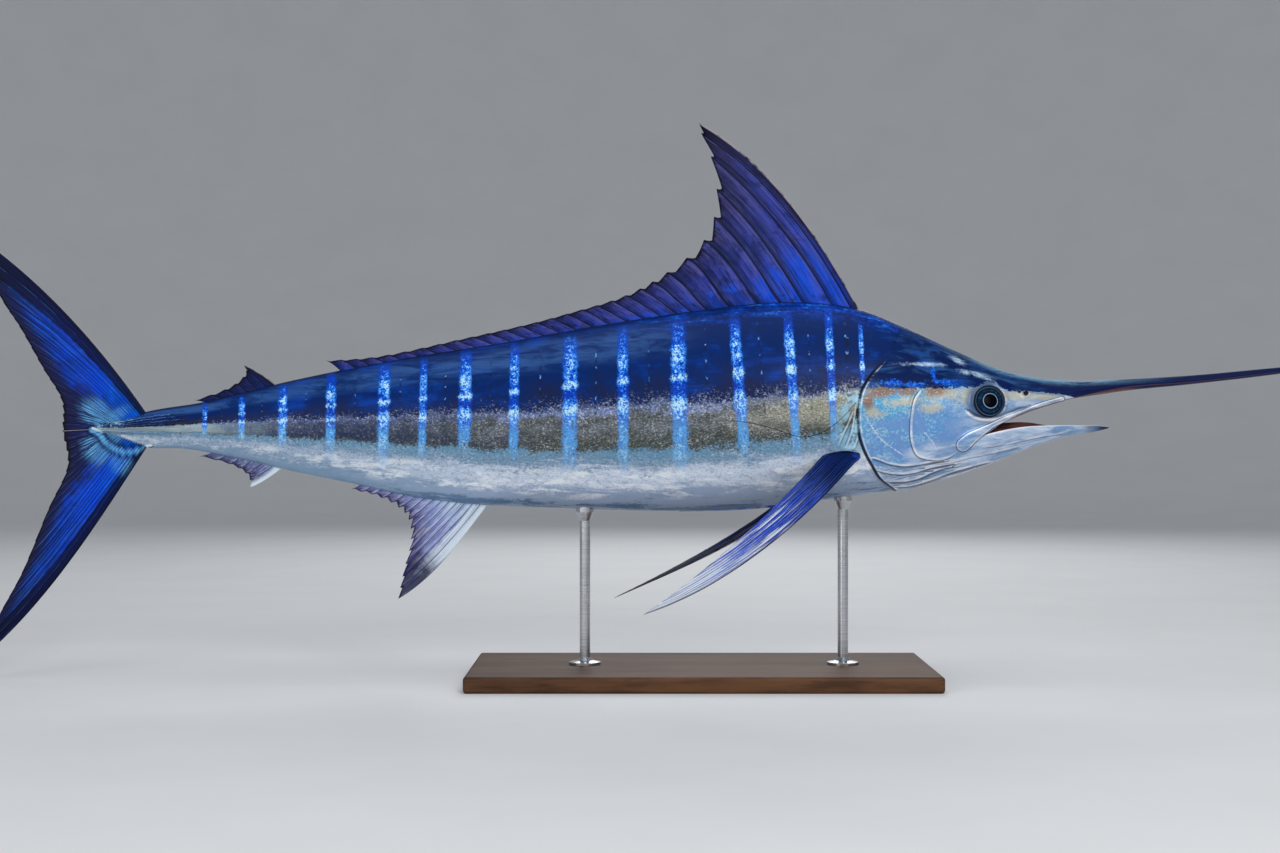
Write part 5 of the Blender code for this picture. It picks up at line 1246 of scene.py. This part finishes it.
def makePectoralFin(name, solid, tip, leave, arrive, turn, material):
    # a blade along a curve from the shoulder, its chord turned about the curve by a set angle
    fin = pectoral
    sign = math.copysign(1, tip[1])
    flat, t, phase, share, _ = fanGrid(fin)
    root = np.array([fin["root"][0], sign * fin["root"][1], fin["root"][2]])
    leave, arrive = unit(np.array(leave)), unit(np.array(arrive))
    # rows ahead of the root close the base in a quarter ellipse
    cap = np.linspace(1, 0, fin["capRows"] + 1)[:-1]
    capAlong = -fin["capLength"] * np.sin(cap * math.pi / 2)[None, :] + 0 * phase[:, None]
    capAcross = flat[:, :1, 1] * np.cos(cap * math.pi / 2)[None, :] + fin["capShift"] * cap[None, :]
    along = np.concatenate([capAlong, np.clip(flat[..., 0], 0, 1)], axis=1)
    across = np.concatenate([capAcross, flat[..., 1]], axis=1)
    t = np.concatenate([0 * capAlong, t], axis=1)
    # the rear of the root lies further out along the fin than its front
    behind = np.clip((fin["front"] - across) / fin["chord"], 0, 1.2)
    along = along + fin["slant"] * behind * (1 - np.clip(along, 0, 1)) ** fin["slantPower"]
    middle = swing(root, np.array(tip), leave, arrive, along)
    ahead = unit(swing(root, np.array(tip), leave, arrive, along + 0.01) - middle)
    forward = unit(np.array([1.0, 0.0, 0.0]) - ahead[..., :1] * ahead)
    out = np.cross(ahead, forward) * sign
    chord = forward * math.cos(math.radians(turn)) + out * math.sin(math.radians(turn))
    grid = middle + chord * across[..., None]
    # where it would lie inside the fish, the base is laid on the skin instead
    level, bottom, width = outline(grid[..., 0], "widest", "belly", "halfWidth")
    height = np.clip(np.abs(grid[..., 2] - level) / (level - bottom), 0, 1)
    surface = width * (1 - height ** body["bellyPower"]) ** (1 / body["bellyPower"])
    pushed = np.maximum(np.abs(grid[..., 1]), surface + fin["capOut"])
    grid[..., 1] = sign * (np.abs(grid[..., 1]) + (pushed - np.abs(grid[..., 1])) * (1 - easeStep(along, 0.1, 0.16)))
    normal = np.cross(ahead, chord)
    half = (fin["edge"] + (fin["thick"] - fin["edge"]) * (1 - t) ** fin["taper"]) * rayProfile(fin, phase, t)
    half = half + fin["boss"] * np.exp(-(along / fin["bossReach"]) ** 2)
    half = half * (1 - 0.8 * np.append(cap, 0 * flat[0, :, 0])[None, :] ** 3)
    fromFront = np.clip(phase / fin["frontRays"], 0, 1)[:, None]
    half = half * np.sqrt(np.maximum(1 - (1 - fromFront) ** 2, fin["frontLeast"]))
    fromBack = np.clip(phase[-1] - phase, 0, 1)[:, None]
    half = np.maximum(half * (fin["backLeast"] + (1 - fin["backLeast"]) * fromBack), fin["least"])
    values = {"ray": phase[:, None], "out": along, "across": share[:, None],
              "toEdge": (t[:, -1:] - t) * fin["length"], "fromFront": phase[:, None]}
    outward = math.copysign(1, np.mean(normal[..., 1]) * sign)
    return sheetPiece(name, grid, half, normal, values, (solid,), material, outward)


pelvic = {"path": ((0.31, 0.012), (0.22, 0.011), (0.13, 0.01), (0.046, 0.009)), "halfWidth": 0.0042,
          "halfHeight": 0.0028, "sunk": 0.0012, "stations": 70, "sides": 16, "roundShare": 0.06, "frontLeast": 0.05,
          "taper": 0.86, "taperPower": 1.4}


def makePelvicFin(name, solid, sign, material):
    # a thin blade laid back along the belly: an ellipse carried along the path, tapered to a point
    x = np.linspace(pelvic["path"][0][0], pelvic["path"][-1][0], pelvic["stations"])
    y = sign * curve(pelvic["path"][::-1], x)
    level, bottom, width = outline(x, "widest", "belly", "halfWidth")
    power = body["bellyPower"]
    z = level - (level - bottom) * (1 - np.abs(y / width) ** power) ** (1 / power)
    share = np.linspace(0, 1, len(x))
    taper = np.sqrt(np.clip(share / pelvic["roundShare"], pelvic["frontLeast"], 1))
    taper = taper * (1 - pelvic["taper"] * share ** pelvic["taperPower"])
    angle = np.linspace(0, 2 * math.pi, pelvic["sides"], endpoint=False)
    grid = placed(x[:, None], y[:, None] + pelvic["halfWidth"] * taper[:, None] * np.cos(angle),
                  z[:, None] - pelvic["sunk"] + pelvic["halfHeight"] * taper[:, None] * np.sin(angle))
    points, quads, triangles = closedRings(grid, grid[0].mean(axis=0), grid[-1].mean(axis=0) - [0.002, 0, 0])
    out = np.append(np.repeat(share, len(angle)), [0, 1])
    values = {"ray": np.append(np.tile(2 * np.cos(angle), len(x)), [0, 0]) + 3, "out": out, "across": 0 * out + 0.5,
              "toEdge": 0.1 * (1 - out), "fromFront": 0 * out + 2}
    return makePiece(name, points, quads, triangles, values, (solid,), material)


# Looks of the fins: colours from the root to the end, on the edge, the rays and their lit and dark sides;
# lines is how many fine lines lie between two rays, band the share of the fin that its dark front takes
finLooks = {
    "dorsal": {
        "root": (0.001, 0.075, 0.7), "middle": (0.024, 0.04, 0.29), "end": (0.022, 0.02, 0.078),
        "edge": (0.003, 0.002, 0.01), "ray": (0.001, 0.002, 0.014), "streak": (0.08, 0.1, 0.38),
        "deep": (0.001, 0.009, 0.07), "rib": (0.13, 0.11, 0.34), "front": (0.006, 0.005, 0.024),
        "rear": (0.012, 0.007, 0.03), "start": 0.12, "centre": 0.54, "stop": 1.0, "pleat": 0.8, "streaks": 0.75,
        "lines": 8.0, "edgeWidth": 0.007, "band": 0.0, "rearShare": 0.0, "fork": 0.0, "gleam": 0.15, "blot": 0.6,
        "paleFront": 0.8},
    "tail": {
        "root": (0.003, 0.18, 0.9), "middle": (0.001, 0.058, 0.72), "end": (0.004, 0.014, 0.12),
        "edge": (0.006, 0.005, 0.014), "ray": (0.001, 0.002, 0.022), "streak": (0.006, 0.16, 0.95),
        "deep": (0.001, 0.008, 0.07), "rib": (0.16, 0.5, 0.92), "front": (0.003, 0.004, 0.024),
        "rear": (0.012, 0.011, 0.045), "start": 0.02, "centre": 0.34, "stop": 1.0, "pleat": 0.3, "streaks": 0.65,
        "lines": 9.0, "edgeWidth": 0.01, "band": 0.13, "rearShare": 0.9, "fork": 1.0, "gleam": 0.0, "blot": 0.25,
        "paleFront": 0.0},
    "pale": {
        "root": (0.6, 0.78, 0.9), "middle": (0.27, 0.36, 0.74), "end": (0.075, 0.065, 0.23),
        "edge": (0.009, 0.008, 0.05), "ray": (0.035, 0.04, 0.17), "streak": (0.74, 0.76, 0.88),
        "deep": (0.1, 0.1, 0.3), "rib": (0.86, 0.86, 0.92), "front": (0.7, 0.8, 0.9), "rear": (0.045, 0.028, 0.05),
        "start": 0.1, "centre": 0.45, "stop": 0.95, "pleat": 0.35, "streaks": 0.5, "lines": 8.0, "edgeWidth": 0.006,
        "band": 0.13, "rearShare": 0.2, "fork": 0.0, "gleam": 0.3, "blot": 0.3, "paleFront": 0.0},
    "pectoral": {
        "root": (0.003, 0.018, 0.075), "middle": (0.003, 0.04, 0.42), "end": (0.74, 0.82, 0.9),
        "edge": (0.014, 0.013, 0.034), "ray": (0.002, 0.005, 0.04), "streak": (0.04, 0.13, 0.8),
        "deep": (0.002, 0.008, 0.1), "rib": (0.78, 0.84, 0.96), "front": (0.008, 0.008, 0.026),
        "rear": (0.003, 0.004, 0.012), "start": 0.14, "centre": 0.42, "stop": 0.68, "pleat": 0.4, "streaks": 0.6,
        "lines": 7.0, "edgeWidth": 0.003, "band": 0.0, "rearShare": 0.0, "fork": 0.0, "gleam": 1.0, "blot": 0.2,
        "paleFront": 0.6},
}
finLooks["dusky"] = {**finLooks["dorsal"], "root": (0.001, 0.02, 0.2), "middle": (0.004, 0.01, 0.07),
                     "end": (0.008, 0.008, 0.034), "streak": (0.012, 0.03, 0.17), "rib": (0.05, 0.06, 0.2)}
finLooks["blade"] = {**finLooks["pale"], "middle": (0.12, 0.17, 0.4), "end": (0.02, 0.02, 0.075),
                     "streak": (0.4, 0.5, 0.7), "band": 0.07}


def finGroup():
    # one look for all fins; its colours and amounts are the group's inputs
    tree = work["tree"] = bpy.data.node_groups.new("finLook", "ShaderNodeTree")
    for key, value in finLooks["dorsal"].items():
        kind = "NodeSocketColor" if isinstance(value, tuple) else "NodeSocketFloat"
        tree.interface.new_socket(key, in_out="INPUT", socket_type=kind)
    for key in ("colour", "fine", "onRay", "blots"):
        kind = "NodeSocketColor" if key == "colour" else "NodeSocketFloat"
        tree.interface.new_socket(key, in_out="OUTPUT", socket_type=kind)
    given = types.SimpleNamespace(**{socket.name: socket for socket in tree.nodes.new("NodeGroupInput").outputs})
    ray, out, toEdge, across = kept("ray"), kept("out"), kept("toEdge"), kept("across")
    streaks = noise(joined(both(ray, 2.0), both(out, 1.6), 0.0), 1.7, 4, 0.6)
    long = noise(joined(both(across, 9.0), both(out, 1.1), 3.0), 2.0, 4, 0.6)
    silk = noise(joined(both(across, scaled(given.gleam, -12.0, 17.0)), both(out, 1.6), 5.0), 2.0, 4, 0.6)
    fine = noise(joined(both(ray, given.lines), both(out, 1.5), 0.0), 2.0, 4, 0.6)
    blots = noise(point(), 30, 5, 0.65, 0.5)
    clouds = noise(point((1.0, 1.0, 1.6)), 11, 4, 0.6, 0.3)
    # root, middle and end follow the rays' length
    place = wandering(out, (blots, 0.35), (long, 0.6))
    coat = Layers(mixColour(grade(place, given.start, given.centre), given.root, given.middle))
    coat.add(given.end, grade(place, given.centre, given.stop))
    # each web is painted lit on the side of its front ray and painted shade on the other, under dark clouds
    fraction = calc("FRACT", ray)
    coat.add(given.streak, grade(wandering(fraction, (streaks, 0.8)), 0.66, 0.1), grade(streaks, 0.38, 0.6),
             given.streaks)
    coat.add(given.deep, grade(wandering(fraction, (streaks, 0.9)), 0.45, 0.95), given.pleat)
    coat.add(given.deep, grade(wandering(clouds, (blots, 0.5)), 0.5, 0.62), given.blot)
    # pale fine lines and long gleams along the rays
    coat.add(given.rib, grade(fine, 0.54, 0.68), grade(out, 0.06, 0.24), 0.3)
    coat.add(given.rib, grade(wandering(silk, (fine, 0.4)), 0.54, 0.62), grade(wandering(out, (long, 0.5)), 0.2, 0.4),
             given.gleam, grade(across, 1.0, 0.8))
    # dull rear part, pale rays by the fork, dark front band
    coat.add(given.streak, grade(wandering(silk, (fine, 0.4)), 0.5, 0.44), given.gleam, grade(out, 0.12, 0.24),
             grade(out, 0.85, 0.55), 0.9)
    coat.add(given.deep, grade(wandering(silk, (fine, 0.5)), 0.42, 0.34), given.gleam, 0.9)
    rear = most(grade(wandering(across, (long, 0.8), (blots, 0.4)), 0.38, 0.72),
                grade(wandering(toEdge, (long, 0.1), (fine, 0.04)), 0.08, 0.015))
    coat.add(given.rear, rear, given.rearShare)
    fork = both(grade(across, 0.4, 0.75), grade(wandering(out, (streaks, 0.6)), 0.5, 0.14), grade(streaks, 0.4, 0.52))
    coat.add(given.rib, fork, given.fork)
    band = calc("SUBTRACT", given.band, wandering(across, (long, 0.15), (blots, 0.1)))
    coat.add(given.front, grade(band, -0.03, 0.03), 0.9)
    # royal blue patches on a base that lies on the skin, and the skin that runs on over the tail's lobes
    coat.add(given.streak, grade(out, 0.045, 0.0), grade(across, 0.9, 0.3), grade(blots, 0.42, 0.6), given.gleam)
    coat.add(given.rib, grade(wandering(kept("sheath"), (long, 0.6)), 0.15, 0.8),
             grade(wandering(fine, (streaks, 0.7)), 0.44, 0.6))
    coat.add(given.deep, kept("foldShade"), 0.8)
    coat.add(given.rib, kept("fold"), grade(blots, 0.3, 0.5))
    # dark lines along the rays, dark tip
    coat.add(given.ray, grade(fine, 0.48, 0.36), 0.7)
    coat.add(given.edge, grade(wandering(kept("tipward"), (blots, 0.3), (streaks, 0.3)), 0.48, 0.76), 0.92)
    onRay = grade(fromWhole(ray), 0.08, 0.02)
    coat.add(given.ray, onRay, 0.85)
    # painted highlight: a pale line just behind each ray
    coat.add(given.rib, lineMask(fraction, 0.13, 0.01, 0.035), grade(blots, 0.46, 0.62), grade(given.band, 0.2, 0.0),
             grade(out, 0.1, 0.25), 0.6)
    ragged = noise(joined(both(ray, 2.0), both(out, 6.0), 0.0), 3.0, 4, 0.7)
    rim = calc("SUBTRACT", given.edgeWidth, wandering(toEdge, (ragged, 0.04)))
    coat.add(given.edge, grade(rim, 0.0, 0.006))
    coat.add(given.front, grade(wandering(kept("fromFront"), (streaks, 0.6)), 1.0, 0.25),
             grade(wandering(kept("tipward"), (blots, 0.3)), 0.66, 0.44), 0.85)
    coat.add((0.46, 0.4, 0.42), grade(kept("fromFront"), 0.22, 0.08), grade(blots, 0.35, 0.55), given.paleFront)
    # painted shade: the face turned to the fish is darkened
    coat.add(given.rear, kept("shadedInnerFace"), grade(streaks, 0.2, 0.7, 1.0, 0.75))
    result = tree.nodes.new("NodeGroupOutput").inputs
    for socket, value in zip(result, (coat.shade, fine, onRay, blots)):
        feed(socket, value)
    return tree


def finMaterial(name, group, look):
    material = newMaterial(name)
    colour = node("Group", look, "colour", node_tree=group)
    fine, onRay, blots = (colour.node.outputs[key] for key in ("fine", "onRay", "blots"))
    roughness = scaled(fine, 0.22, 0.32)
    return finish(material, colour, roughness, ((onRay, 0.3, 0.0008), (fine, 0.4, 0.0006), (blots, 0.15, 0.001)),
                  Specular_IOR_Level=0.06, Coat_Weight=0.015, Coat_Roughness=0.15)


# Eye

ball = {"rings": 72, "segments": 96, "depth": 0.011, "dome": 0.0006, "domeRadius": 0.014}


def eyeNormal(sign):
    # outward direction of the skin at the eye, from small steps along and round the section
    x, z = eye["place"]
    top, level = outline(x, "back", "widest")
    angle = math.acos(float(((z - level) / (top - level)) ** (body["backPower"] / 2)))
    spots = [np.array([cx, *map(float, bodySection(cx, np.float64(a)))]) for cx, a in
             ((x + 0.002, angle), (x - 0.002, angle), (x, angle + 0.01), (x, angle - 0.01))]
    normal = unit(np.cross(spots[0] - spots[1], spots[2] - spots[3]))
    normal *= math.copysign(1, normal[1])
    return normal * np.array([1, sign, 1])


def makeEye(name, solid, sign, material):
    # flattened ball: the radius follows a sine and the depth a cosine, with a slight dome over the pupil
    centre = np.mean(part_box(solid), axis=0)
    normal = eyeNormal(sign)
    across = unit(np.cross([0, 0, 1.0], normal))
    up = np.cross(normal, across)
    polar = np.linspace(0, math.pi, ball["rings"] + 1)[1:-1]
    turn = np.linspace(0, 2 * math.pi, ball["segments"], endpoint=False)
    radius = eye["radius"] * np.sin(polar)
    depth = ball["depth"] * np.cos(polar)
    depth = depth + ball["dome"] * np.exp(-(radius / ball["domeRadius"]) ** 4) * (polar < math.pi / 2)
    grid = (centre + normal * depth[:, None, None]
            + across * (radius[:, None] * np.cos(turn))[..., None] + up * (radius[:, None] * np.sin(turn))[..., None])
    points, quads, triangles = closedRings(grid, centre + normal * (ball["depth"] + ball["dome"]),
                                           centre - normal * ball["depth"])
    ring = np.where(polar < math.pi / 2, np.sin(polar), 2 - np.sin(polar))
    values = {"ring": np.append(np.repeat(ring, len(turn)), [0, 2]),
              "turnX": np.append(np.tile(np.cos(turn), len(ring)), [1, 1]),
              "turnY": np.append(np.tile(np.sin(turn), len(ring)), [0, 0])}
    return makePiece(name, points, quads, triangles, values, (solid,), material)


def eyeMaterial():
    material = newMaterial("wetEye")
    ring = kept("ring")
    spokes = noise(joined(both(kept("turnX"), 6.0), both(kept("turnY"), 6.0), ring), 2.2, 4, 0.6)
    wobble = wandering(ring, (spokes, 0.03))
    coat = Layers(ramp(wobble, (
        (0.0, (0.001, 0.001, 0.003)), (0.445, (0.001, 0.002, 0.006)), (0.475, (0.22, 0.32, 0.42)),
        (0.492, (0.3, 0.4, 0.5)), (0.525, (0.004, 0.01, 0.028)), (0.62, (0.002, 0.01, 0.034)),
        (0.74, (0.004, 0.022, 0.06)), (0.83, (0.002, 0.008, 0.026)), (0.9, (0.003, 0.005, 0.014)),
        (0.935, (0.1, 0.17, 0.25)), (0.965, (0.004, 0.007, 0.018)), (1.0, (0.002, 0.003, 0.008)))))
    coat.add((0.018, 0.085, 0.2), grade(spokes, 0.52, 0.64), grade(ring, 0.55, 0.66), grade(ring, 0.86, 0.76), 0.7)
    roughness = scaled(spokes, 0.1, 0.22)
    return finish(material, coat.shade, roughness, Specular_IOR_Level=0.03)


# Stand

standSet = {
    "wood": {"light": (0.15, 0.066, 0.028), "dark": (0.036, 0.015, 0.007)},
    "steel": {"light": (0.62, 0.63, 0.65), "dark": (0.42, 0.43, 0.45)},
}


def woodMaterial():
    # walnut: rings stretched along X, with pores and a satin varnish
    material = newMaterial("walnut")
    warp = noise(point((0.9, 5.0, 5.0)), 2.2, 4, 0.6)
    rings = node("TexWave", {"Vector": point((0.25, 1.0, 1.6)), "Scale": 20, "Distortion": 6, "Detail": 4,
                             "Detail Scale": 1.2}, "Fac", wave_type="BANDS", bands_direction="Y")
    grain = scaled(warp, 0.7, both(rings, 0.2))
    pores = noise(point((8.0, 260.0, 260.0)), 1.0, 3, 0.7)
    coat = Layers(mixColour(grade(grain, 0.2, 0.75), standSet["wood"]["dark"], standSet["wood"]["light"]))
    coat.add((0.012, 0.006, 0.004), grade(pores, 0.58, 0.7), 0.6)
    roughness = scaled(pores, 0.2, 0.46)
    return finish(material, coat.shade, roughness, ((pores, 0.25, 0.0004), (grain, 0.1, 0.001)),
                  Specular_IOR_Level=0.16, Coat_Weight=0.03, Coat_Roughness=0.3)


def steelMaterial():
    # satin steel: fine turning marks round the rod
    material = newMaterial("satinSteel")
    marksAround = noise(point((6.0, 6.0, 420.0)), 1.0, 4, 0.7)
    smears = noise(point(), 26, 3)
    shade = mixColour(grade(marksAround, 0.3, 0.7), standSet["steel"]["dark"], standSet["steel"]["light"])
    roughness = scaled(smears, 0.16, 0.2)
    return finish(material, shade, roughness, ((marksAround, 0.12, 0.0003),), Metallic=1.0)


def dressStand():
    wood, steel = woodMaterial(), steelMaterial()
    for name, material in (("stand_base", wood), ("stand_rod_front", steel), ("stand_rod_rear", steel)):
        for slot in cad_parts[name].material_slots:
            slot.material = material


# Build

makeCamera()
makeStage()
print("camera, floor and lights are in place")
makeSkin(skinMaterial())
finTree = finGroup()
materials = {slot: finMaterial(name, finTree, finLooks[look]) for slot, name, look in (
    ("dorsal_fin", "dorsalMembrane", "dorsal"), ("caudal_fin", "tailMembrane", "tail"),
    ("pale_fin", "paleMembrane", "pale"), ("pectoral_fin", "pectoralMembrane", "pectoral"),
    ("dusky", "duskyMembrane", "dusky"), ("blade", "bladeMembrane", "blade"))}
for name, fin in fins.items():
    makeFlatFin(name, fin, materials[fin.get("look", fin["slot"])])
for name, (solid, tip, leave, arrive, turn) in pectoral["poses"].items():
    makePectoralFin(name, solid, tip, leave, arrive, turn, materials["pectoral_fin"])
for name, solid, sign in (("rightPelvicFin", "pelvic_fin_right", -1), ("leftPelvicFin", "pelvic_fin_left", 1)):
    makePelvicFin(name, solid, sign, materials["pectoral_fin"])
print("fins are in place")
eyeLook = eyeMaterial()
for name, solid, sign in (("rightEye", "eye_right", -1), ("leftEye", "eye_left", 1)):
    makeEye(name, solid, sign, eyeLook)
dressStand()
print("eyes and stand are in place")
